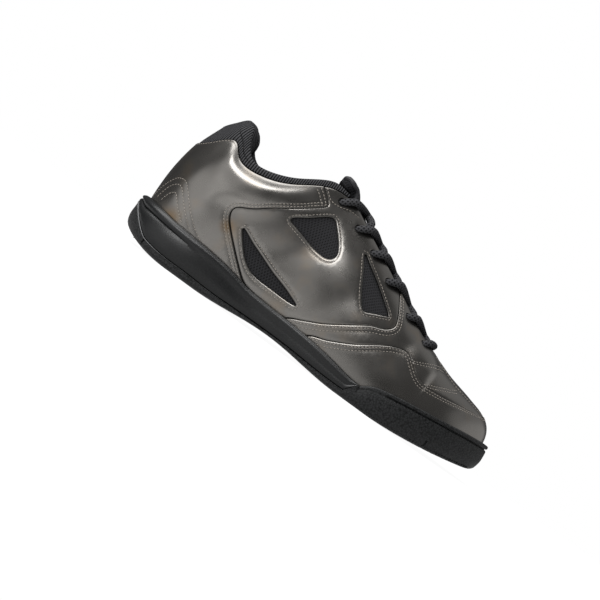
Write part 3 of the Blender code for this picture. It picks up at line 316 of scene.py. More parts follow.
def offset_form(turn, side, height, offset):
    turn = np.asarray(turn, float)
    height = np.asarray(height, float)
    return form(turn, side, height) + form_normal(turn, side, height) * np.asarray(offset, float)[..., None]


EVERY_TURN = np.linspace(0, math.pi, 400)
WIDE = outline(EVERY_TURN, LATERAL)[:, 1].min(), outline(EVERY_TURN, MEDIAL)[:, 1].max()
SHIFT = np.array([-LENGTH / 2, -(WIDE[0] + WIDE[1]) / 2, 0.0])
print("the sole is", round(WIDE[1] - WIDE[0], 1), "mm wide")

# %% [markdown]
# ## Camera
# The photograph looks square at the outer side from about a metre away, and it is rolled, so that the toe
# points down to the right. The camera stands level with the middle of the shoe and is built from three axes:
# its right, its up and its back. Its lens follows from the width that the picture shows at the shoe.

# %% Camera
VIEW_DISTANCE = 1100.0
VIEW_X = 128.0
VIEW_Z = 35.6
VIEW_WIDTH = 407.0
VIEW_ROLL = math.radians(36.05)
SENSOR = 36.0
scene = bpy.context.scene


def placed(points):
    """Shoe millimetres as places in the scene, in metres."""
    return (np.asarray(points, float) + SHIFT) * MM


def put(name, data):
    """A new object in the scene."""
    thing = bpy.data.objects.new(name, data)
    scene.collection.objects.link(thing)
    return thing


camera_lens = bpy.data.cameras.new("camera")
camera_lens.sensor_width = SENSOR
camera_lens.lens = SENSOR * VIEW_DISTANCE / VIEW_WIDTH
camera_right = (math.cos(VIEW_ROLL), 0.0, math.sin(VIEW_ROLL))
camera_up = (-math.sin(VIEW_ROLL), 0.0, math.cos(VIEW_ROLL))
camera_back = (0.0, -1.0, 0.0)
camera_turn = Matrix((camera_right, camera_up, camera_back)).transposed().to_4x4()
scene.camera = put("camera", camera_lens)
scene.camera.matrix_world = Matrix.Translation(placed((VIEW_X, -VIEW_DISTANCE, VIEW_Z))) @ camera_turn
print("lens of", round(camera_lens.lens, 1), "mm")

# %% [markdown]
# ## Studio
# Metallic leather shows the room more than itself, so the room is drawn with care. The world is a grey ramp
# along the picture's own up, with lighter and darker zones where the leather mirrors them, and it is plain
# white where the camera looks past the shoe. The floor glows white to the camera, and in mirrors it shows
# pools of light, one of them dark.

# %% Colours and nodes
def linear(code):
    """An sRGB hex colour as the linear values that shaders take."""
    parts = [int(code[i : i + 2], 16) / 255 for i in (1, 3, 5)]
    return [part / 12.92 if part <= 0.04045 else ((part + 0.055) / 1.055) ** 2.4 for part in parts]


def colour(code):
    return (*linear(code), 1.0)


def fill(node, inputs):
    """Fills a node's inputs with values or with the outputs of other nodes."""
    for name, value in inputs.items():
        if isinstance(value, bpy.types.NodeSocket):
            node.id_data.links.new(value, node.inputs[name])
        else:
            node.inputs[name].default_value = value


def add_node(tree, kind, inputs=None, out=0, **settings):
    """Adds a node with its settings and inputs, and gives the output that is asked for."""
    node = tree.nodes.new(kind)
    for name, value in settings.items():
        setattr(node, name, value)
    fill(node, inputs or {})
    return node.outputs[out] if node.outputs else None


def mixed(tree, share, first, second):
    """A blend of two colours, each a hex code or the output of a node."""
    ends = [colour(end) if isinstance(end, str) else end for end in (first, second)]
    return add_node(tree, "ShaderNodeMix", {0: share, 6: ends[0], 7: ends[1]}, 2, data_type="RGBA")


def ranged(tree, value, start, stop, low=0.0, high=1.0, way="LINEAR"):
    """A value between two limits turned into one between low and high."""
    span = {"Value": value, "From Min": start, "From Max": stop, "To Min": low, "To Max": high}
    return add_node(tree, "ShaderNodeMapRange", span, "Result", interpolation_type=way)


def math_node(tree, operation, *values):
    return add_node(tree, "ShaderNodeMath", dict(enumerate(values)), operation=operation)


def vector_node(tree, operation, first, second, out="Value"):
    return add_node(tree, "ShaderNodeVectorMath", {0: first, 1: second}, out, operation=operation)


def nearness(tree, spot, middle, radius, high=1.0, way="LINEAR"):
    """A share that grows from 0 at this radius in millimetres to its full height in the middle."""
    return ranged(tree, vector_node(tree, "DISTANCE", spot, middle), radius * MM, 0.0, 0.0, high, way)


def new_material(name):
    material = bpy.data.materials.new(name)
    material.use_nodes = True
    return material, material.node_tree, material.node_tree.nodes["Principled BSDF"]


print("white is", [round(part, 3) for part in linear("#ffffff")])

# %% World
SKY_RAMP = [
    (0.0, "#8a8a8a"), (0.30, "#4e4e4e"), (0.45, "#5a5a5a"), (0.62, "#5a5a5a"),
    (0.80, "#636363"), (0.92, "#8a8a8a"), (1.0, "#d0d0d0"),
]
ZONES = table("way start full code", [
    ((0.0, 1.0, 0.0), 0.3, 0.75, "#5a5a5a"),
    ((0.42, 0.45, 0.79), 0.90, 0.97, "#b0b0b0"),
    ((0.611, -0.495, 0.617), 0.80, 0.94, "#6a6a6a"),
    ((0.918, 0.255, 0.306), 0.84, 0.94, "#e0e0e0"),
    ((-0.68, -0.73, 0.06), 0.81, 0.95, "#ffffff"),
])
scene.view_settings.view_transform = "Standard"
scene.world = bpy.data.worlds.new("studio")
scene.world.use_nodes = True
sky = scene.world.node_tree
sky.nodes.clear()
direction = add_node(sky, "ShaderNodeTexCoord", out="Generated")
raised = ranged(sky, vector_node(sky, "DOT_PRODUCT", direction, camera_up), -1.0, 1.0)
room = add_node(sky, "ShaderNodeValToRGB", {"Fac": raised})
stops = room.node.color_ramp.elements
for place, code in SKY_RAMP[1:-1]:
    stops.new(place)
for stop, (place, code) in zip(stops, SKY_RAMP):
    stop.position = place
    stop.color = colour(code)
for zone in ZONES:
    facing = vector_node(sky, "DOT_PRODUCT", direction, zone.way)
    room = mixed(sky, ranged(sky, facing, zone.start, zone.full), room, zone.code)
straight = add_node(sky, "ShaderNodeLightPath", out="Is Camera Ray")
glow = add_node(sky, "ShaderNodeBackground", {"Color": mixed(sky, straight, room, "#ffffff")})
add_node(sky, "ShaderNodeOutputWorld", {"Surface": glow})
print(len(ZONES), "zones in the sky")

# %% Lights and floor
SOFT_BOXES = table("name place aim size power", [
    ("overhead", (-380, -120, 1150), (130, 0, 40), (0.8, 1.4), 16.0),
    ("collar_strip", (-85, -460, 395), (60, -35, 84), (0.32, 0.19), 1.9),
])
for box in SOFT_BOXES:
    lamp = bpy.data.lights.new(box.name, "AREA")
    lamp.shape = "RECTANGLE"
    lamp.size, lamp.size_y = box.size
    lamp.energy = box.power
    place = Vector(placed(box.place))
    aim = (Vector(placed(box.aim)) - place).to_track_quat("-Z", "Y")
    put(box.name, lamp).matrix_world = Matrix.Translation(place) @ aim.to_matrix().to_4x4()

FLOOR_ALONG = (-0.34, 1.1)
FLOOR_ACROSS = (-1.1, 0.4)
FLOOR_GLOW = 0.96
FLOOR_MIRRORED = 0.6
POOLS = table("x y radius glow", [
    (-190, -330, 210, 1.7), (60, -190, 110, 0.9), (80, -470, 150, 1.2), (-10, -300, 150, -0.7),
])
# White glow: the camera sees an even white, and the leather sees painted pools of light and one painted pool
# of shade.
floor_paint, tree, shader = new_material("floor_paint")
spot = add_node(tree, "ShaderNodeTexCoord", out="Object")
glow = FLOOR_MIRRORED
for pool in POOLS:
    share = nearness(tree, spot, placed((pool.x, pool.y, 0.0)), pool.radius)
    glow = math_node(tree, "MULTIPLY_ADD", share, pool.glow, glow)
straight = add_node(tree, "ShaderNodeLightPath", out="Is Camera Ray")
fill(shader, {
    "Base Color": colour("#585858"),
    "Roughness": 0.9,
    "Specular IOR Level": 0.0,
    "Emission Color": colour("#ffffff"),
    "Emission Strength": add_node(tree, "ShaderNodeMix", {0: straight, 2: glow, 3: FLOOR_GLOW}),
})
floor_mesh = bpy.data.meshes.new("floor")
floor_corners = [(x, y, 0) for y in FLOOR_ACROSS for x in FLOOR_ALONG]
floor_mesh.from_pydata(floor_corners, [], [(0, 1, 3, 2)])
floor_mesh.materials.append(floor_paint)
floor = put("floor", floor_mesh)
print(len(SOFT_BOXES), "soft boxes over a floor", round(FLOOR_ALONG[1] - FLOOR_ALONG[0], 2), "m long")

# %% [markdown]
# ## Materials
# Each material starts from what the real one is. The leather is split hide with a metal foil bonded on, so it
# mirrors softly, keeps a fine grain and has brown smears, and two amber reflections are painted on it.
# Textiles are dull, and their weave comes from waves over the piece's own UV map, which is laid out in
# millimetres; the hollows between the yarns are painted dark as shade.

# %% Metallic leather
def object_place(tree):
    return add_node(tree, "ShaderNodeTexCoord", out="Object")


def edge_and_painted_light(tree):
    """A share from the piece's attribute: on leather the cut edges and the painted shade in stitch troughs,
    on rubber a painted highlight line.
    """
    return add_node(tree, "ShaderNodeAttribute", out="Fac", attribute_name="edge")


def noise(tree, size, detail):
    """Soft clouds of about this size in millimetres."""
    inputs = {"Vector": object_place(tree), "Scale": 1 / (size * MM), "Detail": detail}
    return add_node(tree, "ShaderNodeTexNoise", inputs, "Fac")


def cells(tree, size):
    """Round pits of about this size in millimetres."""
    inputs = {"Vector": object_place(tree), "Scale": 1 / (size * MM)}
    return add_node(tree, "ShaderNodeTexVoronoi", inputs, "Distance")


def bump(tree, height, strength, depth):
    return add_node(tree, "ShaderNodeBump", {"Height": height, "Strength": strength, "Distance": depth * MM})


AMBER_REFLECTIONS = table("x z radius share", [(26, 29, 10, 0.6), (61, 47, 8, 0.6)])
FROM_THE_SIDE = np.array([1.0, 0.0, 1.0])
CLOUD_SIZE = 34
SMEAR_SIZE = 18
GRAIN_SIZE = 0.9
# Foil leather: a soft grey mirror with brown smears, painted amber reflections, dark cut edges and painted
# shade in the stitch troughs.
LEATHER, tree, shader = new_material("foil_leather")
smear = noise(tree, SMEAR_SIZE, 2.0)
tone = mixed(tree, noise(tree, CLOUD_SIZE, 3.0), "#827f7b", "#777572")
tone = mixed(tree, ranged(tree, smear, 0.55, 0.8, 0.0, 0.3), tone, "#917d62")
side_on = vector_node(tree, "MULTIPLY", object_place(tree), FROM_THE_SIDE, "Vector")
# Two amber reflections painted as soft spots, placed on the shoe as seen from the side.
for tint in AMBER_REFLECTIONS:
    middle = placed((tint.x, 0.0, tint.z)) * FROM_THE_SIDE
    share = nearness(tree, side_on, middle, tint.radius, tint.share, "SMOOTHSTEP")
    tone = mixed(tree, share, tone, "#75592f")
fill(shader, {
    "Metallic": 1.0,
    "Base Color": mixed(tree, edge_and_painted_light(tree), tone, "#302e2b"),
    "Roughness": ranged(tree, smear, 0.3, 0.7, 0.25, 0.32),
    "Normal": bump(tree, cells(tree, GRAIN_SIZE), 0.05, 0.1),
})
print("made", LEATHER.name)

# %% Textiles, thread and cord
# At scale 1 the wave texture draws one band over 2 pi / 20, so pi / 10 turns a pitch into a scale.
WAVE_BAND = math.pi / 10
FUZZ_SIZE = 0.8
FUZZ_SHARE = 0.6


def woven(name, dark, light, pitch, slants, depth, sockets):
    """A textile of one or two sets of yarns over the UV map, painted dark in the hollows between them as
    shade.
    """
    material, tree, shader = new_material(name)
    flat = add_node(tree, "ShaderNodeUVMap", uv_map="millimetres")
    yarns = []
    for slant in slants:
        slanted = {"Vector": flat, "Rotation": (0, 0, math.radians(slant))}
        bands = {"Vector": add_node(tree, "ShaderNodeMapping", slanted), "Scale": WAVE_BAND / pitch}
        yarns.append(add_node(tree, "ShaderNodeTexWave", bands, "Fac"))
    height = math_node(tree, "MAXIMUM", yarns[0], yarns[-1])
    fuzzy = math_node(tree, "MULTIPLY_ADD", noise(tree, FUZZ_SIZE, 3.0), FUZZ_SHARE, height)
    # Lower yarn heights are painted darker, as shade in the hollows.
    tint = mixed(tree, ranged(tree, fuzzy, 0.3, 1.3), dark, light)
    fill(shader, {"Base Color": tint, "Normal": bump(tree, fuzzy, 0.6, depth), **sockets})
    return material


CLOTH = {"Roughness": 0.85, "Specular IOR Level": 0.2, "Sheen Weight": 0.04, "Sheen Roughness": 0.5}
KNIT = {"Roughness": 0.9, "Specular IOR Level": 0.05}
# Charcoal mesh: a near black with a fine diamond grid.
MESH = woven("charcoal_mesh", "#020202", "#272729", 1.7, (35, -35), 0.35, CLOTH)
# Rib knit: soft grey ribs with black furrows of painted shade.
RIB_KNIT = woven("rib_knit", "#050505", "#4a4a4c", 1.8, (0,), 0.8, KNIT)
# Tongue mesh: a dull black with a square grid.
TONGUE_MESH = woven("tongue_mesh", "#060607", "#222225", 1.8, (0, 90), 0.4, CLOTH)
# Braided cord: crossing grey strands with painted shade between them.
BRAID = woven("braided_cord", "#040404", "#464648", 2.0, (40, -40), 0.6, KNIT)
# Insole cloth: a flat dark grey.
INSOLE_CLOTH = woven("insole_cloth", "#101012", "#2d2d30", 1.4, (0, 90), 0.25, CLOTH)
# Tape binding: a smooth dark line round the tongue, with a slight sheen.
BINDING = woven("tape_binding", "#141416", "#2c2c30", 1.2, (90,), 0.15, {"Roughness": 0.6})
# Polyester thread: light dots that draw the seams.
THREAD, tree, shader = new_material("polyester_thread")
tint = mixed(tree, noise(tree, 3, 2.0), "#7d766e", "#a69e94")
fill(shader, {"Base Color": tint, "Roughness": 0.55, "Sheen Weight": 0.2})
print("made textiles and thread")

# %% Rubber and foam
def moulded(name, dark, light, grit, depth, low, high, mirrored):
    """A moulded surface with a fine stipple, slow changes of gloss and a painted highlight line where the
    attribute marks it.
    """
    material, tree, shader = new_material(name)
    pits = cells(tree, grit)
    fill(shader, {
        "Base Color": mixed(tree, edge_and_painted_light(tree), mixed(tree, pits, light, dark), "#8a8b8c"),
        "Roughness": ranged(tree, noise(tree, 22, 4.0), 0.3, 0.7, low, high),
        "Specular IOR Level": mirrored,
        "Normal": bump(tree, pits, 0.35, depth),
    })
    return material


# Stippled rubber: a deep black with grey pits and one painted highlight line along its top edge at the heel.
RUBBER_BLACK = moulded("stippled_rubber", "#020202", "#2f3031", 1.3, 0.4, 0.5, 0.65, 0.25)
# Moulded foam: an even charcoal with a soft shine.
FOAM_BLACK = moulded("moulded_foam", "#0c0d0e", "#131415", 1.3, 0.08, 0.30, 0.42, 0.4)
print("made rubber and foam")

# %% [markdown]
# ## Drawing on the form
# Panel lines, windows and eyelets are drawn as marks in the side view, each an x and a z, and then searched
# for on the form. A chart lays the form out flat, along the sole and upward, in millimetres, so that lines
# can be smoothed, moved sideways for a seam and filled with triangles.

# %% Marks and the chart
def seen(points, side):
    """Where the side view shows these points of the form, as x and z."""
    scale = VIEW_DISTANCE / (VIEW_DISTANCE + points[..., 1] * side)
    x = VIEW_X + (points[..., 0] - VIEW_X) * scale
    z = VIEW_Z + (points[..., 2] - VIEW_Z) * scale
    return np.stack([x, z], axis=-1)


SEARCH_TURN, SEARCH_HEIGHT = np.meshgrid(np.linspace(0.02, 3.1, 120), np.linspace(0.0, 1.0, 60))
SEARCH_SEEN = {side: seen(form(SEARCH_TURN, side, SEARCH_HEIGHT), side) for side in SIDES}
SEARCH_ROUNDS = 8
SEARCH_STEP = 0.08


def locate(mark, side):
    """Turn and height on the form that the side view shows at a mark."""
    nearest = np.argmin(np.sum((SEARCH_SEEN[side] - mark) ** 2, axis=-1))
    guess = np.array([SEARCH_TURN.flat[nearest], SEARCH_HEIGHT.flat[nearest]])
    small = 1e-4
    for _ in range(SEARCH_ROUNDS):
        spots = guess + np.array([[0, 0], [small, 0], [0, small]])
        shown = seen(form(spots[:, 0], side, spots[:, 1]), side)
        slopes = ((shown[1:] - shown[0]) / small).T
        change = np.linalg.lstsq(slopes, mark - shown[0], rcond=None)[0]
        guess = guess + np.clip(change, -SEARCH_STEP, SEARCH_STEP)
        guess = np.clip(guess, [0.0, 0.0], [math.pi, 1.0])
    return guess


def lengths(points):
    """Distance along a line of points, from its start."""
    return np.concatenate([[0.0], np.cumsum(np.linalg.norm(np.diff(points, axis=0), axis=1))])


CHART_ALONG = lengths(outline(EVERY_TURN, LATERAL))
CHART_END = CHART_ALONG[-1]
CHART_UP = 75.0


def to_chart(spots):
    """Turn and height laid out flat, in millimetres."""
    spots = np.asarray(spots, float)
    return np.stack([np.interp(spots[:, 0], EVERY_TURN, CHART_ALONG), spots[:, 1] * CHART_UP], axis=1)


def from_chart(points):
    points = np.asarray(points, float)
    return np.stack([np.interp(points[:, 0], CHART_ALONG, EVERY_TURN), points[:, 1] / CHART_UP], axis=1)


print("the chart is", round(CHART_END, 1), "mm long")

# %% Lines on the chart
EDGE_SPACING = 1.2
FINE_STEPS = 40


def through(padded, spots):
    """Places on a smooth curve through the inner points of a list, which has one point more at each end."""
    first = np.clip(spots.astype(int), 0, len(padded) - 4)
    t = (spots - first)[:, None]
    a, b, c, d = (padded[first + k] for k in range(4))
    square = (2 * a - 5 * b + 4 * c - d) * t**2
    cube = (3 * b - a - 3 * c + d) * t**3
    return 0.5 * (2 * b + (c - a) * t + square + cube)


def smooth_path(points, spacing, closed=False):
    """Points at an even spacing along a smooth curve through the given ones."""
    points = np.asarray(points, float)
    knots = np.concatenate([points, points[:1]]) if closed else points
    before = points[-1:] if closed else 2 * points[:1] - points[1:2]
    after = points[1:2] if closed else 2 * points[-1:] - points[-2:-1]
    padded = np.concatenate([before, knots, after])
    fine = through(padded, np.linspace(0, len(knots) - 1, FINE_STEPS * (len(knots) - 1) + 1))
    length = lengths(fine)
    count = max(3 if closed else 1, round(length[-1] / spacing))
    stops = np.linspace(0, length[-1], count + 1)
    even = np.stack([np.interp(stops, length, fine[:, k]) for k in range(points.shape[1])], axis=1)
    return even[:-1] if closed else even


def shifted(line, amount, closed=False):
    """A flat line moved square to itself, to the left of the way it runs."""
    ring = np.concatenate([line[-1:], line, line[:1]]) if closed else line
    along = unit(np.gradient(ring, axis=0))
    moved = ring + np.stack([-along[:, 1], along[:, 0]], axis=1) * amount
    return moved[1:-1] if closed else moved


def straight_run(start, stop, first=False, last=False):
    """Points at an even spacing between two places, with or without the places themselves."""
    start, stop = np.asarray(start, float), np.asarray(stop, float)
    count = max(2, round(np.linalg.norm(stop - start) / EDGE_SPACING))
    between = start + np.outer(np.arange(1, count) / count, stop - start)
    return np.concatenate([[start]] * first + [between] + [[stop]] * last)


def drawn(marks, side):
    """Marks of the side view as places on the chart."""
    return to_chart([locate(mark, side) for mark in marks])


print("lines have a point every", EDGE_SPACING, "mm")

# %% [markdown]
# Three lines part the leather on each side: the guard's top edge round the toe, the vamp's rear edge, and
# the front edge of the heel panel. Three windows show the mesh, and six eyelets run up each side of the
# throat.

# %% Panel lines
GUARD_LINE = [
    (270, 43.0), (255, 40.8), (240, 38.6), (231, 37.8), (224, 39.5), (217, 44.3), (211, 48.5), (205, 49.6),
    (198, 47.2), (188, 41.4), (175, 32.6), (160, 24.6), (149, 20.4),
]
VAMP_LINE = [
    (130, 21.4), (140, 26.4), (152, 32.8), (165, 41.6), (177, 49.4), (186, 53.2), (190.3, 57.5),
    (190.3, 62.0), (186, 70.5), (180, 79.5),
]
REAR_LINE = [
    (90, 22.5), (85, 26.1), (75, 34.6), (65, 43.6), (57.5, 51.5), (55, 57.6), (57.5, 62.0), (66, 67.0),
    (76, 74.8), (90, 84.6), (101, 93.4), (105.8, 98.0), (104, 101.0), (98, 106.0),
]
REAR_WINDOW = [
    (68.5, 52.6), (72.5, 46.0), (80, 37.8), (88, 32.2), (97, 30.0), (112, 29.6), (124, 29.7), (128, 31.1),
    (118, 35.2), (100, 40.6), (82, 47.1),
]
MIDDLE_WINDOW = [
    (91, 77.1), (101, 85.0), (111.5, 93.2), (115.5, 93.5), (120, 89.5), (127, 81.5), (130.2, 75.5),
    (129, 70.5), (123, 68.4), (112, 69.9), (97, 73.8),
]
FRONT_WINDOW = [
    (145.5, 87.0), (155, 81.6), (168, 73.6), (182.5, 63.2), (182, 61.2), (175, 58.0), (169, 55.1),
    (165.8, 56.0), (160, 63.0), (152, 76.0),
]
WINDOWS = (REAR_WINDOW, MIDDLE_WINDOW, FRONT_WINDOW)
GUARD_TOE_Z = 44.3
GUARD_LEAD = 6.0
VAMP_LEAD = 5.0
REAR_LEAD = -4.0
FOOT_HEIGHT = 0.03
LOW = FOOT_HEIGHT * CHART_UP


def guard_line(side):
    heights = np.linspace(0, 1, 200)
    rise = form(np.zeros(len(heights)), LATERAL, heights)[:, 2]
    toe = to_chart([(0.0, np.interp(GUARD_TOE_Z, rise, heights))])[0]
    rows = [toe, *drawn(GUARD_LINE, side)]
    return smooth_path([*rows, (rows[-1][0] + GUARD_LEAD, LOW)], EDGE_SPACING)


def rising_line(marks, side, lead):
    """A line from the sole up to the top edge."""
    rows = list(drawn(marks, side))
    run = rows[-1] - rows[-2]
    top = rows[-1] + run * (CHART_UP - rows[-1][1]) / run[1]
    return smooth_path([(rows[0][0] + lead, LOW), *rows, top], EDGE_SPACING)


def window_rings(side):
    return [smooth_path(drawn(marks, side), EDGE_SPACING, closed=True) for marks in WINDOWS]


GUARD_LINES = {side: guard_line(side) for side in SIDES}
VAMP_LINES = {side: rising_line(VAMP_LINE, side, VAMP_LEAD) for side in SIDES}
REAR_LINES = {side: rising_line(REAR_LINE, side, REAR_LEAD) for side in SIDES}
WINDOW_RINGS = {side: window_rings(side) for side in SIDES}
print(sum(len(line) for line in GUARD_LINES.values()), "points along the guard's edge")

# %% Eyelets
EYELETS = [(112, 106.3), (131.5, 98.2), (149.5, 90.6), (169, 81.2), (194, 69.8), (213.5, 61.2)]
QUARTER_EYELETS = 4
EYELET_RADIUS = 2.4
EYELET_POINTS = 20


def ring_round(mark, side):
    """A round hole on the form, as a closed flat line."""
    turn, height = locate(mark, side)
    small = 1e-3
    turns = np.array([turn, turn + small, turn])
    heights = np.array([height, height, height + small])
    middle, along, up = form(turns, side, heights)
    frame = np.stack([along - middle, up - middle], axis=1) / small
    first = unit(frame[:, 0])
    second = np.cross(unit(np.cross(frame[:, 0], frame[:, 1])), first)
    angles = np.arange(EYELET_POINTS) * 2 * math.pi / EYELET_POINTS
    steps = (np.outer(np.cos(angles), first) + np.outer(np.sin(angles), second)) * EYELET_RADIUS
    moves = np.linalg.lstsq(frame, steps.T, rcond=None)[0].T
    return to_chart(np.array([turn, height]) + moves)


EYELET_RINGS = {side: [ring_round(mark, side) for mark in EYELETS] for side in SIDES}
print(len(EYELETS), "eyelets on each side")

# %% [markdown]
# ## Filling a panel
# A leather panel has a rounded cut edge, and its stitch rows sit in shallow troughs. Both could be sculpted,
# but a triangulation that is told where the edge and the rows run keeps them crisp with few faces. Each
# point carries how far it drops below the panel's face.

# %% Flat triangles
GRID_SPACING = 2.2
GRID_CLEAR = 0.6 * GRID_SPACING
CUT_DROP = -0.42
CUT_STEPS = table("inset drop clear", [(0.30, -0.12, 0.2), (0.85, 0.0, 0.45)])
ROW_DROP = -0.12
ROW_HALF = 0.65
ROW_CLEAR = 0.4
Run = namedtuple("Run", "line cut")


def grid_points():
    rows = np.arange(0.0, CHART_UP, GRID_SPACING * math.sqrt(0.75))
    columns = np.arange(0.0, CHART_END, GRID_SPACING)
    odd = GRID_SPACING * 0.5
    return np.array([(along + odd * (k % 2), up) for k, up in enumerate(rows) for along in columns])


GRID = grid_points()


def inside(points, loop):
    """Which of these flat points lie inside a closed flat line."""
    start = np.asarray(loop)
    stop = np.roll(start, -1, axis=0)
    slope = (stop[:, 0] - start[:, 0]) / (stop[:, 1] - start[:, 1] + 1e-12)
    found = []
    for part in np.array_split(points, len(points) // 2000 + 1):
        y = part[:, 1:2]
        crosses = (start[:, 1] > y) != (stop[:, 1] > y)
        before = part[:, 0:1] < slope * (y - start[:, 1]) + start[:, 0]
        found.append(np.count_nonzero(crosses & before, axis=1))
    return np.concatenate(found) % 2 == 1


def within(points, rims):
    """Which points lie in the first line and in none of the others."""
    keep = inside(points, rims[0])
    for hole in rims[1:]:
        keep &= ~inside(points, hole)
    return keep


def gap_to(points, others):
    """Distance from each flat point to the nearest of the others."""
    tree = KDTree(len(others))
    for index, place in enumerate(others):
        tree.insert((*place, 0.0), index)
    tree.balance()
    return np.array([tree.find((*place, 0.0))[2] for place in points])


def winding(loop):
    """1 for a line that runs counter-clockwise, -1 for one that runs clockwise."""
    ahead = np.roll(loop, -1, axis=0)
    return math.copysign(1, np.sum(loop[:, 0] * ahead[:, 1] - ahead[:, 0] * loop[:, 1]))


def flat_panel(runs, holes=(), rows=()):
    """Triangles that fill a closed line of runs, and how far each point drops below the panel's face."""
    loop = np.concatenate([run.line for run in runs])
    rims = [loop, *holes]
    points = np.concatenate(rims)
    rim_runs = [*runs, *[Run(hole, 1.0) for hole in holes]]
    drops = [np.full(len(run.line), CUT_DROP * run.cut) for run in rim_runs]
    edges = []
    for rim in rims:
        edges += [(len(edges) + i, len(edges) + (i + 1) % len(rim)) for i in range(len(rim))]
    layers = []
    for step in CUT_STEPS:
        inner = [shifted(run.line, winding(loop) * step.inset) for run in runs if run.cut]
        inner += [shifted(hole, -winding(hole) * step.inset, closed=True) for hole in holes]
        layers += [(line, step.drop, step.clear) for line in inner]
    for row in rows:
        layers.append((row, ROW_DROP, ROW_CLEAR))
        layers += [(shifted(row, side * ROW_HALF), 0.0, ROW_CLEAR) for side in SIDES]
    layers.append((GRID, 0.0, GRID_CLEAR))
    for more, drop, clear in layers:
        more = more[within(more, rims)]
        more = more[gap_to(more, points) > clear]
        points = np.concatenate([points, more])
        drops.append(np.full(len(more), drop))
    found = delaunay_2d_cdt([tuple(point) for point in points], edges, [], 0, 1e-5)
    source = np.array([ids[0] for ids in found[3]])
    triangles = source[np.array(found[2])]
    keep = within(points[triangles].mean(axis=1), rims)
    return points, triangles[keep], np.concatenate(drops)


print(len(GRID), "grid points on the chart")

# %% [markdown]
# ## Swell and creases
# Leather over foam is never flat. It bulges at the padded collar, dips where the foot bends, and waves a
# little everywhere, and a metallic finish makes much of each change. The creases are given as soft troughs
# with a place, a slant and a depth.

# %% Relief of the leather
CREASES = table("x z slant length width depth", [
    (206, 56, 62, 11, 4.5, -0.5), (222, 49, 55, 9, 4.0, -0.5), (241, 45, 20, 12, 4.0, -0.4),
    (262, 36, 60, 9, 6.0, -0.3), (150, 52, 50, 24, 9.0, -0.7), (103, 58, 40, 28, 9.0, -0.7),
    (36, 66, 45, 20, 8.0, -0.7), (30, 44, -50, 14, 6.0, -0.3), (47, 56, 30, 9, 6.0, -0.8),
])
WAVES = table("height x z y", [(0.08, 9.3, 13.1, 17), (0.06, 14.7, -10.3, 13)])
RIB_BULGE = 1.1
PAD_SWELL = 2.8
PAD_DOWN = 10.5
PAD_FADE = 30.0
PAD_START = COLLAR_TURN + 0.05
PAD_GROW = 0.35
PAD_STOP = 2.52
PAD_SHRINK = 0.22


def relief(turn, side, height):
    """How far the leather stands out from the form, or sinks below it."""
    points = form(turn, side, height)
    x, z = np.moveaxis(seen(points, side), -1, 0)
    y = points[..., 1]
    total = sum(wave.height * np.sin(x / wave.x + z / wave.z + y / wave.y) for wave in WAVES)
    for crease in CREASES:
        angle = math.radians(crease.slant)
        along = (x - crease.x) * math.cos(angle) + (z - crease.z) * math.sin(angle)
        across = (z - crease.z) * math.cos(angle) - (x - crease.x) * math.sin(angle)
        total = total + crease.depth * np.exp(-((along / crease.length) ** 2) - (across / crease.width) ** 2)
    foot, _, _, top = rib_points(turn, side)
    down = (1 - height) * RIB_BULGE * np.linalg.norm(top - foot, axis=-1)
    padded = smooth_step((turn - PAD_START) / PAD_GROW) * (1 - smooth_step((turn - PAD_STOP) / PAD_SHRINK))
    rounding = np.sin(0.5 * math.pi * np.clip(down / PAD_DOWN, 0, 1))
    fading = 0.5 + 0.5 * np.cos(math.pi * np.clip((down - PAD_DOWN) / PAD_FADE, 0, 1))
    return total + PAD_SWELL * padded * rounding * fading


print(len(CREASES), "creases")

# %% [markdown]
# ## From flat triangles to a panel
# Both sides of a panel share their points along the middle of the shoe, so each point gets a name that is
# the same from either side. The outer face, the inner face and the walls between them make a closed shell.
# Its chart becomes the UV map in millimetres, and how near a point is to a cut edge becomes an attribute,
# which also marks the stitch troughs, so that the leather is painted darker there as shade.

# %% Shells
MERGE = 2e-6
SAME = 1e-4


def key_of(spot, side):
    """A name for a spot that is the same from both sides where they meet."""
    turn, height = round(float(spot[0]), 5), round(float(spot[1]), 5)
    shared = turn < SAME or turn > math.pi - SAME or (height > 1 - SAME and turn < THROAT_TURN + SAME)
    return (0 if shared else side, turn, height)


def shell(halves, inner, outer):
    """Points, faces, UV map and edge marks of a closed skin between two offsets of the form; the marks also
    pick out the stitch troughs for painted shade.
    """
    names = {}
    corners = []
    faces = []
    for side, (places, triangles, drops) in halves.items():
        index = []
        for place, spot, drop in zip(places, from_chart(places), drops):
            name = key_of(spot, side)
            if name not in names:
                names[name] = len(corners)
                corners.append((side, *spot, *place, drop))
            index.append(names[name])
        faces += [tuple(index[i] for i in triangle) for triangle in triangles]
    faces = [face for face in faces if len(set(face)) == 3]
    corners = np.array(corners)
    count = len(corners)
    points = np.empty((2 * count, 3))
    for side in SIDES:
        here = np.flatnonzero(corners[:, 0] == side)
        turn, height, drop = corners[here, 1], corners[here, 2], corners[here, 5]
        swell = relief(turn, side, height)
        points[here] = offset_form(turn, side, height, outer + drop + swell)
        points[here + count] = offset_form(turn, side, height, inner + swell)
    used = {}
    for face in faces:
        for a, b in zip(face, face[1:] + face[:1]):
            used.setdefault(frozenset((a, b)), []).append((a, b))
    walls = [(a, b, b + count, a + count) for (a, b), *more in used.values() if not more]
    solid = faces + [tuple(i + count for i in face[::-1]) for face in faces] + walls
    flat = np.concatenate([corners[:, 3:5]] * 2)
    # The mark is full on cut edges and the inner face, and near 0.3 in the stitch troughs, where it paints
    # shade.
    edge = np.concatenate([np.clip(corners[:, 5] / CUT_DROP, 0, 1), np.ones(count)])
    return points, solid, flat, edge


def plain_mesh(thing):
    """The mesh of an object with its modifiers worked in, after which the object is removed."""
    mesh = bpy.data.meshes.new_from_object(thing.evaluated_get(bpy.context.evaluated_depsgraph_get()))
    bpy.data.objects.remove(thing)
    return mesh


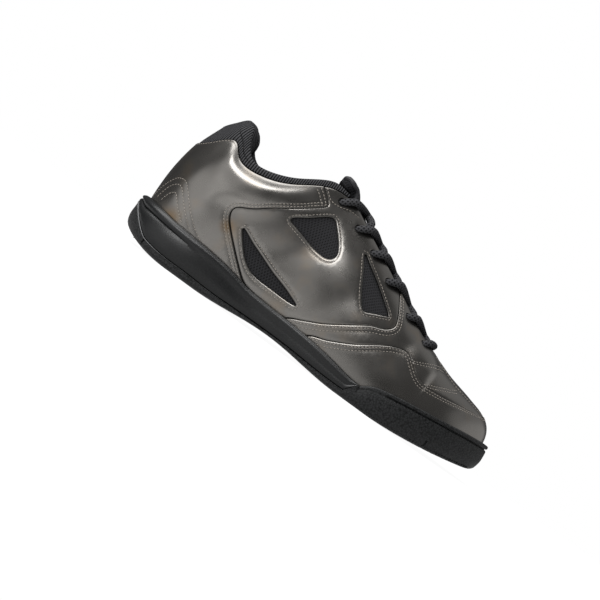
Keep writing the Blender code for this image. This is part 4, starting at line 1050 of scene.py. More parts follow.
def without_boxes(mesh, spans):
    """A mesh with boxes taken out, given as low and high corners in shoe millimetres, none touching."""
    body = bmesh.new()
    for low, high in spans:
        low, high = np.array(low), np.array(high)
        place = Matrix.Translation(placed((low + high) / 2))
        bmesh.ops.create_cube(body, size=1.0, matrix=place @ Matrix.Diagonal((*(high - low) * MM, 1.0)))
    cutter_mesh = bpy.data.meshes.new(mesh.name + "_cutter")
    body.to_mesh(cutter_mesh)
    body.free()
    whole = put(mesh.name + "_whole", mesh)
    cutter = put(mesh.name + "_cutter", cutter_mesh)
    taken = whole.modifiers.new("cuts", "BOOLEAN")
    taken.operation = "DIFFERENCE"
    taken.solver = "EXACT"
    taken.object = cutter
    cut = plain_mesh(whole)
    bpy.data.objects.remove(cutter)
    return cut


def dressed(name, mesh, node=None):
    """A finished piece at the origin and the solid that it stands for."""
    piece = put(name, mesh)
    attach(piece, "root")
    if node:
        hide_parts(node)
    print(name, len(mesh.polygons), "faces")
    return piece


def new_piece(name, skin, material, node=None, crisp=40.0, cuts=()):
    """A piece from a skin in shoe millimetres, with doubled points joined and faces turned out."""
    points, faces, flat, *edge = skin
    mesh = bpy.data.meshes.new(name)
    mesh.from_pydata(placed(points).tolist(), [], faces)
    corner = np.empty(len(mesh.loops), int)
    mesh.loops.foreach_get("vertex_index", corner)
    mesh.uv_layers.new(name="millimetres").uv.foreach_set("vector", np.asarray(flat)[corner].ravel())
    if edge:
        mesh.attributes.new("edge", "FLOAT", "POINT").data.foreach_set("value", edge[0])
    body = bmesh.new()
    body.from_mesh(mesh)
    bmesh.ops.remove_doubles(body, verts=body.verts, dist=MERGE)
    bmesh.ops.dissolve_degenerate(body, dist=MERGE, edges=body.edges)
    bmesh.ops.recalc_face_normals(body, faces=body.faces)
    body.to_mesh(mesh)
    body.free()
    mesh.materials.append(material)
    for spans in cuts:
        mesh = without_boxes(mesh, spans)
    mesh.shade_smooth()
    mesh.set_sharp_from_angle(angle=math.radians(crisp))
    return dressed(name, mesh, node)


print("points nearer than", MERGE / MM, "mm are joined")

# %% [markdown]
# ## Mesh shell
# The dark shell is the shoe's own hollow wall: mesh outside, lining inside, open at the throat, the collar
# and the sole. It shows in the three windows and inside the shoe.

# %% Mesh shell
WALL_OUTER = -1.5
WALL_INNER = -3.4


def wall_half(side):
    corners = [(0, 0), (CHART_END, 0), (CHART_END, CHART_UP), (0, CHART_UP)]
    runs = [Run(straight_run(a, b, first=True), 0.0) for a, b in zip(corners, corners[1:] + corners[:1])]
    return flat_panel(runs, EYELET_RINGS[side])


skin = shell({side: wall_half(side) for side in SIDES}, WALL_INNER, WALL_OUTER)
new_piece("mesh_shell", skin[:3], MESH, "upper")

# %% [markdown]
# ## Leather panels
# The guard wraps the toe, the vamp covers the forefoot and the lowest eyelets, a quarter holds the windows
# on each side, and one panel goes round the heel. Where two meet, the one on top stands higher and carries
# twin stitch rows along its edge.

# %% Stitch rows
TWIN_ROWS = (1.6, 3.7)
WINDOW_ROW = 1.9
ROW_SPACING = 0.9
ROW_MARGIN = 1.5
VAMP_MARKS = [
    [(213, 46.6), (220, 49.6), (234, 54.6)],
    [(212, 44.9), (220, 47.9), (235, 52.8)],
    [(230, 38.9), (236, 41.6), (250, 48.1)],
    [(231.5, 37.6), (237, 40.0), (251, 46.4)],
    [(226, 58.0), (238, 53.6), (250, 49.7), (262, 47.0), (274, 44.4)],
]
HEEL_MARKS = [
    [
        (6.3, 33.7), (8, 44.4), (10.6, 50.9), (12.8, 54.0), (15.7, 55.3), (18.6, 54.8), (21, 52.8),
        (29.7, 43.4), (41.4, 33.1), (49, 28.6),
    ],
    [
        (9.0, 36), (10.6, 43.4), (12.8, 48.2), (15.6, 50.6), (18.4, 50.0), (20.8, 47.6), (29.2, 38.6),
        (38.6, 30.6),
    ],
    [(12.4, 36), (14.0, 41.6), (16.6, 44.6), (19.2, 43.2), (22.6, 39.2), (31.4, 31.4)],
]
EYESTAY_MARKS = [[(99, 107.4), (105, 102.8), (112, 102.4), (120, 104.4), (127, 104.2)]]
TAB_SEAM_TURN = 2.63
TAB_SEAM_DOWN = 1.6
TAB_SEAM_ALONG = np.arange(np.interp(TAB_SEAM_TURN, EVERY_TURN, CHART_ALONG), CHART_END, ROW_SPACING)
TAB_SEAM = np.stack([TAB_SEAM_ALONG, np.full(len(TAB_SEAM_ALONG), CHART_UP - TAB_SEAM_DOWN)], axis=1)


def marked_rows(lists, side):
    return [smooth_path(drawn(marks, side), ROW_SPACING) for marks in lists]


def twin_rows(line, way):
    """Two rows beside an edge, short of the sole and the top edge."""
    rows = [smooth_path(shifted(line, way * distance)[::3], ROW_SPACING) for distance in TWIN_ROWS]
    low, high = LOW + ROW_MARGIN, CHART_UP - ROW_MARGIN
    return [row[(row[:, 1] > low) & (row[:, 1] < high) & (row[:, 0] > 0.0)] for row in rows]


def guard_rows(side):
    return twin_rows(GUARD_LINES[side], -1)


def vamp_rows(side):
    return twin_rows(VAMP_LINES[side], 1) + marked_rows(VAMP_MARKS, side)


def rear_rows(side):
    return twin_rows(REAR_LINES[side], -1) + marked_rows(HEEL_MARKS, side) + [TAB_SEAM]


def quarter_rows(side):
    rings = [shifted(ring, -winding(ring) * WINDOW_ROW, closed=True) for ring in WINDOW_RINGS[side]]
    return rings + marked_rows(EYESTAY_MARKS, side)


print(len(rear_rows(LATERAL)), "stitch rows on either side of the heel panel")

# %% Panels
PANEL_INNER = -0.9
PANEL_SEAM = 0.12
VAMP_OUTER = 0.4


def seam_edge(lines, side, way):
    """A panel line moved by half a seam, with its ends set back on the panel's rim."""
    line = shifted(lines[side], way * PANEL_SEAM)
    if lines is GUARD_LINES:
        line[0] = 0.0, lines[LATERAL][0, 1] + way * PANEL_SEAM
        line[-1, 1] = LOW
    else:
        line[0, 1] = LOW
        line[-1, 1] = CHART_UP
    return line


def guard_half(side):
    line = seam_edge(GUARD_LINES, side, -1)
    toe = straight_run((0.0, LOW), line[0], first=True)
    foot = straight_run(line[-1], (0.0, LOW))
    return [Run(toe, 0.0), Run(line, 1.0), Run(foot, 0.0)], []


def vamp_half(side):
    guard = seam_edge(GUARD_LINES, side, 1)
    line = seam_edge(VAMP_LINES, side, 1)
    throat = (np.interp(THROAT_TURN, EVERY_TURN, CHART_ALONG), CHART_UP)
    foot = straight_run(guard[-1], line[0])
    edge = straight_run(line[-1], throat, last=True)
    ridge = straight_run(throat, (0.0, CHART_UP), last=True)
    toe = straight_run((0.0, CHART_UP), guard[0])
    runs = [Run(guard, 1.0), Run(foot, 0.0), Run(line, 1.0), Run(edge, 1.0), Run(ridge, 0.0), Run(toe, 0.0)]
    return runs, EYELET_RINGS[side][QUARTER_EYELETS:]


def quarter_half(side):
    vamp = seam_edge(VAMP_LINES, side, -1)
    rear = seam_edge(REAR_LINES, side, 1)
    foot = straight_run(vamp[0], rear[0])
    top = straight_run(rear[-1], vamp[-1])
    runs = [Run(foot, 0.0), Run(rear, 1.0), Run(top, 1.0), Run(vamp[::-1], 1.0)]
    return runs, WINDOW_RINGS[side] + EYELET_RINGS[side][:QUARTER_EYELETS]


def rear_half(side):
    line = seam_edge(REAR_LINES, side, -1)
    foot = straight_run(line[0], (CHART_END, LOW))
    heel = straight_run((CHART_END, LOW), (CHART_END, CHART_UP), first=True, last=True)
    top = straight_run((CHART_END, CHART_UP), line[-1])
    return [Run(foot, 0.0), Run(heel, 0.0), Run(top, 1.0), Run(line[::-1], 1.0)], []


PANELS = table("node half rows outer sides", [
    ("toe_guard", guard_half, guard_rows, 0.7, SIDES),
    ("vamp_panel", vamp_half, vamp_rows, VAMP_OUTER, SIDES),
    ("heel_panel", rear_half, rear_rows, 0.4, SIDES),
    ("quarter_lateral", quarter_half, quarter_rows, 0.0, (LATERAL,)),
    ("quarter_medial", quarter_half, quarter_rows, 0.0, (MEDIAL,)),
])
for panel in PANELS:
    halves = {side: flat_panel(*panel.half(side), panel.rows(side)) for side in panel.sides}
    skin = shell(halves, PANEL_INNER, panel.outer)
    new_piece("leather_" + panel.node, skin, LEATHER, panel.node)

# %% [markdown]
# ## Stitches
# Thousands of stitches follow the rows. Geometry Nodes place one short bead of thread at an even pitch along
# every row, so that the pitch and the thread are two numbers instead of thousands of objects.

# %% Stitch tree
def new_tree(name, given, made):
    """An empty tree with named inputs, and the outputs of its input node."""
    tree = bpy.data.node_groups.new(name, "GeometryNodeTree")
    for socket, kind in given.items():
        tree.interface.new_socket(socket, in_out="INPUT", socket_type="NodeSocket" + kind)
    tree.interface.new_socket(made, in_out="OUTPUT", socket_type="NodeSocketGeometry")
    return tree, add_node(tree, "NodeGroupInput").node.outputs


def finish_tree(tree, points, shape, rotation, material):
    """Ends a tree: the shape on every point, as plain faces with a material."""
    where = {"Points": points, "Instance": shape, "Rotation": rotation}
    shapes = add_node(tree, "GeometryNodeInstanceOnPoints", where)
    real = add_node(tree, "GeometryNodeRealizeInstances", {"Geometry": shapes})
    painted = add_node(tree, "GeometryNodeSetMaterial", {"Geometry": real, "Material": material})
    add_node(tree, "NodeGroupOutput", {0: painted})
    return tree


def bead_tree(name, material):
    """A tree that sets small beads along rows, as stitches or ribs."""
    kinds = {"Rows": "Geometry", "Pitch": "Float", "Bead Length": "Float", "Bead Width": "Float"}
    tree, given = new_tree(name, kinds, "Beads")
    rows = add_node(tree, "GeometryNodeMeshToCurve", {"Mesh": given["Rows"]})
    spacing = {"Curve": rows, "Length": given["Pitch"]}
    spots = add_node(tree, "GeometryNodeCurveToPoints", spacing, "Points", mode="LENGTH")
    ball = add_node(tree, "GeometryNodeMeshUVSphere", {"Segments": 6, "Rings": 4, "Radius": 0.5})
    wide, long = given["Bead Width"], given["Bead Length"]
    size = add_node(tree, "ShaderNodeCombineXYZ", {"X": wide, "Y": wide, "Z": long})
    bead = add_node(tree, "GeometryNodeTransform", {"Geometry": ball, "Scale": size})
    return finish_tree(tree, spots, bead, spots.node.outputs["Rotation"], material)


def grown(name, points, edges, tree, sizes, slot, smooth=True):
    """A plain mesh piece that a tree grows on points and edges in shoe millimetres."""
    mesh = bpy.data.meshes.new(name)
    mesh.from_pydata(placed(points).tolist(), edges, [])
    guide = put(name + "_guide", mesh)
    modifier = guide.modifiers.new(tree.name, "NODES")
    modifier.node_group = tree
    for item in tree.interface.items_tree:
        if item.name in sizes:
            modifier[item.identifier] = sizes[item.name]
    grown_mesh = plain_mesh(guide)
    grown_mesh.name = name
    if smooth:
        grown_mesh.shade_smooth()
    return dressed(name, grown_mesh)


STITCHES = bead_tree("stitches_along_rows", THREAD)
print(len(STITCHES.nodes), "nodes make the stitches")

# %% Stitches on the panels
THREAD_LIFT = -0.02
STITCH_SIZES = {"Pitch": 2.3 * MM, "Bead Length": 1.75 * MM, "Bead Width": 0.46 * MM}


def row_in_space(row, side, outer):
    """A stitch row as a line in space on the face of a panel."""
    turns, heights = from_chart(row).T
    return offset_form(turns, side, heights, outer + relief(turns, side, heights) + THREAD_LIFT)


def as_edges(lines):
    """Points and edges of several lines in one mesh."""
    edges = []
    start = 0
    for line in lines:
        edges += [(start + i, start + i + 1) for i in range(len(line) - 1)]
        start += len(line)
    return np.concatenate(lines), edges


lines = []
for side in SIDES:
    for panel in PANELS:
        if side in panel.sides:
            lines += [row_in_space(row, side, panel.outer) for row in panel.rows(side)]
grown("panel_stitches", *as_edges(lines), STITCHES, STITCH_SIZES, "metallic_leather")

# %% [markdown]
# ## Lofts
# The collar, the tongue, the laces and the sole are all one section carried along a path. The sections are
# rings of points, and faces run from ring to ring. A first point that is repeated at the end of a ring gives
# the UV map a clean seam, and it is merged again later.

# %% Loft helpers
CORD_POINTS = 12


def loft(rings, closed_path=False):
    """Points, faces and a UV map of a skin over rings, each closed by its repeated first point."""
    rings = np.asarray(rings, float)
    if closed_path:
        rings = np.concatenate([rings, rings[:1]])
    count, size = rings.shape[:2]
    along = lengths(rings.mean(axis=1))
    round_it = lengths(rings[count // 2])
    flat = np.stack(np.broadcast_arrays(along[:, None], round_it[None]), axis=-1).reshape(-1, 2)
    faces = []
    for i in range(count - 1):
        for k in range(size - 1):
            faces.append((i * size + k, i * size + k + 1, (i + 1) * size + k + 1, (i + 1) * size + k))
    if not closed_path:
        faces.append(tuple(range(size - 1)))
        faces.append(tuple((count - 1) * size + k for k in range(size - 1)))
    return rings.reshape(-1, 3), faces, flat


def rounded_rings(rings, times):
    """Closed rings with more points, on a smooth curve through the given ones."""
    rings = np.asarray(rings, float)
    size = rings.shape[1]
    spots = np.linspace(0, size, size * times + 1)
    padded = np.concatenate([rings[:, -1:], rings, rings[:, :2]], axis=1)
    return np.stack([through(ring, spots) for ring in padded])


def smooth_rings(rings, times):
    """More rings between the given ones, on smooth curves from ring to ring."""
    rings = np.asarray(rings, float)
    rows = rings.reshape(len(rings), -1)
    padded = np.concatenate([2 * rows[:1] - rows[1:2], rows, 2 * rows[-1:] - rows[-2:-1]])
    fine = through(padded, np.linspace(0, len(rows) - 1, (len(rows) - 1) * times + 1))
    return fine.reshape(-1, *rings.shape[1:])


def tube(path, radius):
    """Rings of a round cord along a path, carried without twist."""
    path = np.asarray(path, float)
    along = unit(np.gradient(path, axis=0))
    first = np.cross(along[0], (0.0, 0.0, 1.0) if abs(along[0][2]) < 0.9 else (1.0, 0.0, 0.0))
    angles = np.linspace(0, 2 * math.pi, CORD_POINTS + 1)
    rings = []
    for place, way, size in zip(path, along, np.broadcast_to(radius, len(path))):
        first = unit(first - way * np.dot(first, way))
        second = np.cross(way, first)
        rings.append(place + size * (np.outer(np.cos(angles), first) + np.outer(np.sin(angles), second)))
    return np.array(rings)


print("cords have", CORD_POINTS, "points round them")

# %% [markdown]
# ## Collar
# A knitted tube with foam inside rolls over the leather's edge, pads the ankle and rises at the heel as a
# pull tab. Its section is drawn once, with its sizes from a table, and swept round the opening. A second
# table says where a stitched fold runs up the tab's flank, between the roll and the tab's flat back.

# %% Collar
COLLAR = table("x rise pad depth", [
    (104, 4.6, 1.6, 12.0), (96, 6.0, 2.6, 16.0), (84, 6.2, 5.0, 26.0), (60, 5.8, 7.0, 32.0),
    (42, 6.3, 8.5, 34.0), (34, 8.6, 10.0, 36.0), (28, 11.0, 12.0, 36.0), (21, 13.6, 14.0, 36.0),
    (16, 15.8, 14.5, 36.0), (10, 19.5, 15.0, 34.0), (6, 26.4, 15.0, 32.0), (0, 36.0, 15.0, 28.0),
])
FOLDS = table("x above depth", [
    (104, 2.4, 0.0), (42, 3.2, 0.0), (28, 4.4, 0.9), (21, 4.8, 1.3), (16, 5.4, 1.3), (10, 12.0, 1.3),
    (6, 21.0, 1.2), (2, 23.0, 0.2), (0, 20.0, 0.0),
])
ROLL_BASE = 1.6
ROLL_GROWTH = 0.08
TAB_LEAN = 0.007
PAD_SHARE = 0.5
PAD_SLOPE = 0.45
FOLD_HALF = 0.8
FOLD_STEP = 5
FOLD_TURNS = np.linspace(2.56, 2.9, 40)
COLLAR_RINGS = 120
COLLAR_SIZES = [by_turn(COLLAR, field) for field in ("rise", "pad", "depth")]
FOLD_ABOVE, FOLD_DEPTH = by_turn(FOLDS, "above"), by_turn(FOLDS, "depth")


def collar_rings(turns, side):
    """Sections of the collar: a roll above the leather's edge and a pad inside it."""
    rise, pad, depth = (size(turns) for size in COLLAR_SIZES)
    foot, _, high, top = rib_points(turns, side)
    up = unit(top - high)
    length = RIB_BULGE * np.linalg.norm(top - foot, axis=1)
    out = form_normal(turns, side, np.ones(len(turns)))
    inward = np.concatenate([-outward(turns, side), np.zeros((len(turns), 1))], axis=1)
    inner = WALL_INNER - 2.5 * GAP
    roll = ROLL_BASE + ROLL_GROWTH * rise
    fold = FOLD_ABOVE(turns)
    sunk = np.maximum(FOLD_DEPTH(turns), 0.0)
    # Each step is an offset from the form and a height above the leather's edge.
    steps = [
        (inner, -depth),
        (inner, -0.5 * depth),
        (inner, 0.5),
        (-0.4, 0.5),
        (-0.1, fold - FOLD_HALF),
        (-0.1 - sunk, fold),
        (-0.1 + 0.3 * sunk, fold + FOLD_HALF),
        (-0.4 * roll, rise - 0.5 * roll),
        (-1.2 * roll, rise),
        (inner - 0.45 * pad, rise - 0.2),
        (inner - 0.92 * pad, 0.9 * rise - 2.2),
        (inner - pad, -0.18 * depth),
        (inner - 0.75 * pad, -0.55 * depth),
        (inner - 0.9, -depth),
    ]
    rings = []
    for step in steps:
        offset, above = (np.broadcast_to(size, len(turns))[:, None] for size in step)
        wall = np.maximum(offset, inner)
        higher = top + up * above + inward * TAB_LEAN * above**2 + out * wall
        lower = offset_form(turns, side, 1 + np.minimum(above[:, 0], 0.0) / length, wall[:, 0])
        place = np.where(above > 0, higher, lower)
        fall = np.where(above > 0, PAD_SLOPE, 0.0) * np.array([0, 0, 1])
        moved = place + (inward - fall) * (wall - offset)
        moved[:, 1] = -side * np.maximum(-side * moved[:, 1], -side * place[:, 1] * PAD_SHARE)
        rings.append(moved)
    return np.stack(rings, axis=1)


turns = np.linspace(COLLAR_TURN, math.pi, COLLAR_RINGS)
rings = np.concatenate([collar_rings(turns, LATERAL), collar_rings(turns[-2::-1], MEDIAL)])
skin = loft(rounded_rings(rings, 4))
collar = new_piece("knit_collar", skin, RIB_KNIT, "collar", crisp=60)
lines = [collar_rings(FOLD_TURNS, side)[:, FOLD_STEP] for side in SIDES]
grown("fold_stitches", *as_edges(lines), STITCHES, STITCH_SIZES, "collar_textile")

# %% [markdown]
# ## Tongue
# A padded strip lies under the eyestays and stands free above them, with a tape bound round its edge. Its
# sections come from two tables, one for the held part and one for the free end, and are smoothed both ways.

# %% Tongue
TONGUE = table("x z reach sink thickness", [
    (232, 52.2, 0.16, 4.4, 2.0), (222, 56.8, 0.18, 4.4, 2.6), (206, 65.2, 0.18, 4.2, 3.4),
    (190, 73.2, 0.17, 4.2, 3.8), (168, 85.4, 0.16, 4.2, 4.0), (150, 95.0, 0.15, 4.2, 4.2),
    (136, 103.0, 0.12, 4.8, 4.6), (124, 111.4, 0.06, 6.6, 5.0),
])
TONGUE_TAB = table("x z half droop thickness", [
    (118.8, 117.6, 13.5, 2.6, 8.0), (113.6, 121.4, 18.0, 3.0, 10.6), (109.4, 122.9, 17.5, 3.0, 10.4),
    (107.0, 122.0, 16.0, 3.0, 7.0),
])
TAB_FRONT = np.array([0.55, 0.0, 0.835])
ACROSS = np.array([-1.0, -0.88, -0.66, -0.36, 0.0, 0.36, 0.66, 0.88, 1.0])
HELD_OPEN = np.array([1.0, 0.5, 0.0, 0.0])
HELD_CLOSED = np.array([1.0, 0.5, 0.25, 0.08])
THICKENING = np.array([0.45, 0.8, 1.0, 1.0])
TONGUE_SWELL = 0.12
TO_CENTRE = 0.55


def tongue_ring(row):
    """One section of the tongue where the eyestays hold it down."""
    turn = float(np.interp(-row.x, -TOP_X(EVERY_TURN), EVERY_TURN))
    turns = np.full(4, turn)
    opened = turn > THROAT_TURN
    heights = 1 - row.reach * (HELD_OPEN if opened else HELD_CLOSED)
    centre = np.array([row.x, centre_y(row.x), row.z])
    under = centre - TAB_FRONT * row.thickness
    sinks = row.sink + row.thickness * THICKENING
    outer = {side: offset_form(turns, side, heights, np.full(4, -row.sink)) for side in SIDES}
    inner = {side: offset_form(turns, side, heights, -sinks) for side in SIDES}
    for side in SIDES:
        if opened:
            swell = TONGUE_SWELL * abs(centre[2] - outer[side][2][2])
            outer[side][3] = (1 - TO_CENTRE) * outer[side][2] + TO_CENTRE * centre + TAB_FRONT * swell
            inner[side][3] = (1 - TO_CENTRE) * inner[side][2] + TO_CENTRE * under
    over = [*outer[LATERAL], centre, *outer[MEDIAL][::-1]]
    below = [*inner[LATERAL], under, *inner[MEDIAL][::-1]]
    return over + below[::-1]


def tab_ring(row):
    """One section of the tongue's free end."""
    centre = np.array([row.x, centre_y(row.x), row.z])
    over = [centre + np.array([0, row.half * u, 0]) - TAB_FRONT * row.droop * u * u for u in ACROSS]
    below = [point - TAB_FRONT * row.thickness * (1 - 0.5 * abs(u) ** 3) for point, u in zip(over, ACROSS)]
    return over + below[::-1]


fine_rings = smooth_rings([tongue_ring(row) for row in TONGUE] + [tab_ring(row) for row in TONGUE_TAB], 8)
skin = loft(rounded_rings(fine_rings, 3))
tongue = new_piece("padded_tongue", skin, TONGUE_MESH, "tongue", crisp=60)

# %% Binding round the tongue's edge
BINDING_RADIUS = 1.7
BINDING_SPACING = 1.5
BOUND_FROM = 52
bound = fine_rings[BOUND_FROM:]
tip = 0.5 * (bound[-1][1:8] + bound[-1][16:9:-1])
path = smooth_path(np.concatenate([bound[:, 0], tip, bound[::-1, 8]])[::3], BINDING_SPACING)
new_piece("tongue_binding", loft(tube(path, BINDING_RADIUS)), BINDING, crisp=60)

# %% [markdown]
# ## Laces
# One round braided lace comes up through each eyelet, crosses the tongue and dives under the other side, and
# a bar joins the lowest pair. Each crossing is a tube whose path bends into its hole, so no cut end shows.

# %% Laces
LACE_RADIUS = 2.5
HOLE_SHARE = 0.84
HOLE_RUN = 3.0
LACE_LIFT = VAMP_OUTER + LACE_RADIUS - 0.2
LACE_SPACING = 1.2
LACE_LEADS = (0.06, 0.06, 0.06, 0.06, 0.05, 0.06)
DIP_BACK = 4.0
DIP_SINK = 0.4


def over_tongue(x):
    """Height of a lace's middle where it lies on the tongue."""
    rows = TONGUE[::-1]
    return float(np.interp(x, [row.x for row in rows], [row.z for row in rows])) + LACE_RADIUS


def lace_start(index, side):
    """Points where a lace leaves an eyelet and, further to the toe, runs over the throat's edge."""
    turn, height = locate(EYELETS[index], side)
    turns = turn - LACE_LEADS[index] * np.array([0.0, 0.08, 0.45, 1.0])
    heights = np.array([height, height, height + 0.35 * (1 - height), 1.0])
    lifts = np.array([-3.0, 0.6, LACE_LIFT, LACE_LIFT])
    return list(offset_form(turns, side, heights, lifts))


def crossing_path(index, side):
    """Out of one eyelet, over the tongue, and under the other side to its next eyelet."""
    start = lace_start(index, side)
    far = lace_start(index + 1, -side)[-1]
    x = (start[-1][0] + far[0]) / 2
    middle = np.array([x, centre_y(x), over_tongue(x)])
    dip_x = far[0] - DIP_BACK
    dip_y = centre_y(dip_x) + 0.5 * (far[1] - centre_y(dip_x))
    dip = np.array([dip_x, dip_y, over_tongue(dip_x) - DIP_SINK])
    turn, height = locate(EYELETS[index + 1], -side)
    heights = np.array([0.5 * (1 + height), height])
    under = offset_form(np.full(2, turn), -side, heights, np.full(2, WALL_INNER - LACE_RADIUS))
    return smooth_path([*start, middle, dip, *under], LACE_SPACING)


def bar_path(index):
    first = lace_start(index, LATERAL)
    last = lace_start(index, MEDIAL)
    middle = 0.5 * (first[-1] + last[-1])
    middle[2] = max(middle[2], over_tongue(middle[0]))
    return smooth_path([*first, middle, *last[::-1]], LACE_SPACING)


def lace_loft(path):
    """The skin of a lace, drawn a little thinner where an eyelet holds it at either end."""
    run = lengths(path)
    ends = np.minimum(run, run[-1] - run)
    freed = smooth_step((ends - HOLE_RUN) / HOLE_RUN)
    return loft(tube(path, LACE_RADIUS * (HOLE_SHARE + (1 - HOLE_SHARE) * freed)))


def joined(lofts):
    """Several lofts as one."""
    faces = []
    start = 0
    for points, corners, _ in lofts:
        faces += [tuple(start + i for i in corner) for corner in corners]
        start += len(points)
    return np.concatenate([skin[0] for skin in lofts]), faces, np.concatenate([skin[2] for skin in lofts])


LACES = {"lace_bar": [bar_path(len(EYELETS) - 1)]}
for index in range(len(EYELETS) - 1):
    LACES[f"lace_crossing_{index + 1}"] = [crossing_path(index, side) for side in SIDES]
for node, paths in LACES.items():
    skin = joined([lace_loft(path) for path in paths])
    new_piece("braided_" + node, skin, BRAID, node, crisp=60)

# %% [markdown]
# ## Sole
# The black foam midsole has a rounded lip round the heel with a groove under it, and the rubber outsole
# climbs round heel and toe. Both are swept: a profile of insets from the sole's outline and heights is worked
# out at each rib round the sole.

# %% Ribs of the sole
FOAM_RIM = table("x z", [
    (0, 32.2), (13, 31.3), (33, 29.3), (62, 27.0), (82, 24.6), (94, 22.2), (111, 20.8), (149, 18.8),
    (168, 16.4), (191, 13.4),
])
TOE_RIM = table("x z", [
    (191, 13.4), (197, 16.7), (204, 19.5), (209, 20.6), (230, 23.8), (255, 26.9), (282, 29.7), (292, 30.1),
])
FOAM_RIM_Z = by_x(FOAM_RIM, "z")
TOE_RIM_Z = by_x(TOE_RIM, "z")
WRAP_RAMP = (184.5, 191.2)
WRAP_THICKNESS = 3.4
WRAP_INSET = 0.8
HEEL_WRAP_END = 21.0
HEEL_WRAP_RISE = 10.5
HEEL_WRAP_CURVE = 1.3
FOAM_FRONT = WRAP_RAMP[1] + 0.3
WRAP_START = WRAP_RAMP[1] + 1.0
SPINE = (42.0, 240.0)
SOLE_RIBS = 190
RIB_GAP = 0.002
NEXT_TO = 0.01


def core_z(x):
    """Height of the seam between foam and rubber inside the sole."""
    return bottom(x) + RUBBER(x)


def joint_z(x):
    """Height of the same seam on the sole's side, which climbs at the heel and in front of the ball."""
    core = core_z(x)
    heel = HEEL_WRAP_RISE * np.clip((HEEL_WRAP_END - x) / HEEL_WRAP_END, 0, 1) ** HEEL_WRAP_CURVE
    ramp = np.clip((x - WRAP_RAMP[0]) / (WRAP_RAMP[1] - WRAP_RAMP[0]), 0, 1)
    return core + heel + ramp * (FOAM_RIM_Z(WRAP_RAMP[1]) - GAP - core)


def sole_turns():
    """Turns of the sole's ribs: even steps along it, and the places where a wrap starts or ends."""
    wanted = turn_of([HEEL_WRAP_END, *WRAP_RAMP, FOAM_FRONT, WRAP_START - 0.3, WRAP_START])
    even = np.interp(np.linspace(0, CHART_END, SOLE_RIBS), CHART_ALONG, EVERY_TURN)
    return np.array(sorted([*[turn for turn in even if np.min(abs(wanted - turn)) > RIB_GAP], *wanted]))


def beside_upper(turn, side, z, clear):
    """Plan point this far outside the upper's form at a height."""
    heights = np.linspace(0, 0.7, 40)
    points = form(np.full(len(heights), turn), side, heights)
    place = np.array([np.interp(z, points[:, 2], points[:, k]) for k in range(2)])
    return place + outward(np.array([turn]), side)[0] * clear


def spine_point(x):
    x = min(max(x, SPINE[0]), SPINE[1])
    return np.array([x, centre_y(x)])


def rib_profile(turn, side, steps):
    """Points of one rib of the sole: plan points or insets from the outline, each with a height."""
    points = []
    for place, z in steps:
        if np.isscalar(place):
            place = plan_point(turn, side, place)
        points.append((place[0], place[1], z(place[0]) if callable(z) else z))
    return points + points[:1]


SOLE_TURNS = sole_turns()
ROUND_TRIP = [(turn, LATERAL) for turn in SOLE_TURNS] + [(turn, MEDIAL) for turn in SOLE_TURNS[-2:0:-1]]
print(len(ROUND_TRIP), "ribs round the sole")

# %% Midsole
FOAM_CLEAR = 0.6
GROOVE_DROP = 6.6
GROOVE_DEPTH = 2.0
GROOVE_END = 66.0
GROOVE_FADE = 40.0
GROOVE_SHARE = 0.45
# The bead, the hollow under it and the flank: insets, and drops as shares of the height of each.
BEAD = table("inset fat drop fat_drop", [
    (2.4, 1.4, 0.0, 0.03), (1.5, 1.2, 0.06, 0.04), (0.9, 0.9, 0.16, 0.05), (0.5, 0.5, 0.31, 0.06),
    (0.4, 0.1, 0.50, 0.06),
])
HOLLOW = table("inset deep drop", [(0.5, 0.05, 0.76), (0.5, 0.45, 0.92), (0.5, 1.0, 1.0)])
FLANK = table("inset deep drop", [
    (0.5, 0.75, 0.06), (0.4, 0.40, 0.18), (0.1, 0.20, 0.42), (0.05, 0.05, 0.72), (0.35, 0.0, 0.94),
    (0.90, 0.0, 1.0),
])
FRONT_POINTS = len(BEAD) + len(HOLLOW) + len(FLANK) + 3


def foam_profile(turn, side):
    x = outline_x(turn)
    spine = spine_point(x)
    foot = float(INSET(turn)) - WRAP_INSET
    if x > FOAM_FRONT - NEXT_TO:
        at_front = x < FOAM_FRONT + NEXT_TO
        reach = 0.9 + WRAP_THICKNESS if at_front else foot
        front = [(reach, float(joint_z(x)) if at_front else FLOOR)] * FRONT_POINTS
        steps = [(spine, FLOOR), (foot, FLOOR), *front, (reach, core_z), (spine, core_z)]
        return rib_profile(turn, side, steps)
    rim = float(FOAM_RIM_Z(x))
    floor = float(FLOOR(plan_point(turn, side, foot)[0]))
    joint = float(joint_z(x))
    groove = max(rim - GROOVE_DROP, joint + GROOVE_SHARE * (rim - joint))
    fat = float(smooth_step((GROOVE_END - x) / GROOVE_FADE))
    depth = GROOVE_DEPTH * fat
    drop = rim - groove
    walls = [(floor + 0.2, FLOOR), ((floor + rim) / 2, (floor + rim) / 2), (rim, rim)]
    steps = [
        (spine, FLOOR),
        *[(beside_upper(turn, side, level, FOAM_CLEAR), z) for level, z in walls],
        *[(row.inset + row.fat * fat, rim - (row.drop + row.fat_drop * fat) * drop) for row in BEAD],
        *[(row.inset + row.deep * depth, rim - row.drop * drop) for row in HOLLOW],
        *[(row.inset + row.deep * depth, groove - row.drop * (groove - joint)) for row in FLANK],
        (WRAP_INSET + WRAP_THICKNESS, joint),
        (WRAP_INSET + WRAP_THICKNESS, core_z),
        (spine, core_z),
    ]
    return rib_profile(turn, side, steps)


skin = loft([foam_profile(*place) for place in ROUND_TRIP], closed_path=True)
new_piece("foam_midsole", skin, FOAM_BLACK, "midsole", crisp=50)

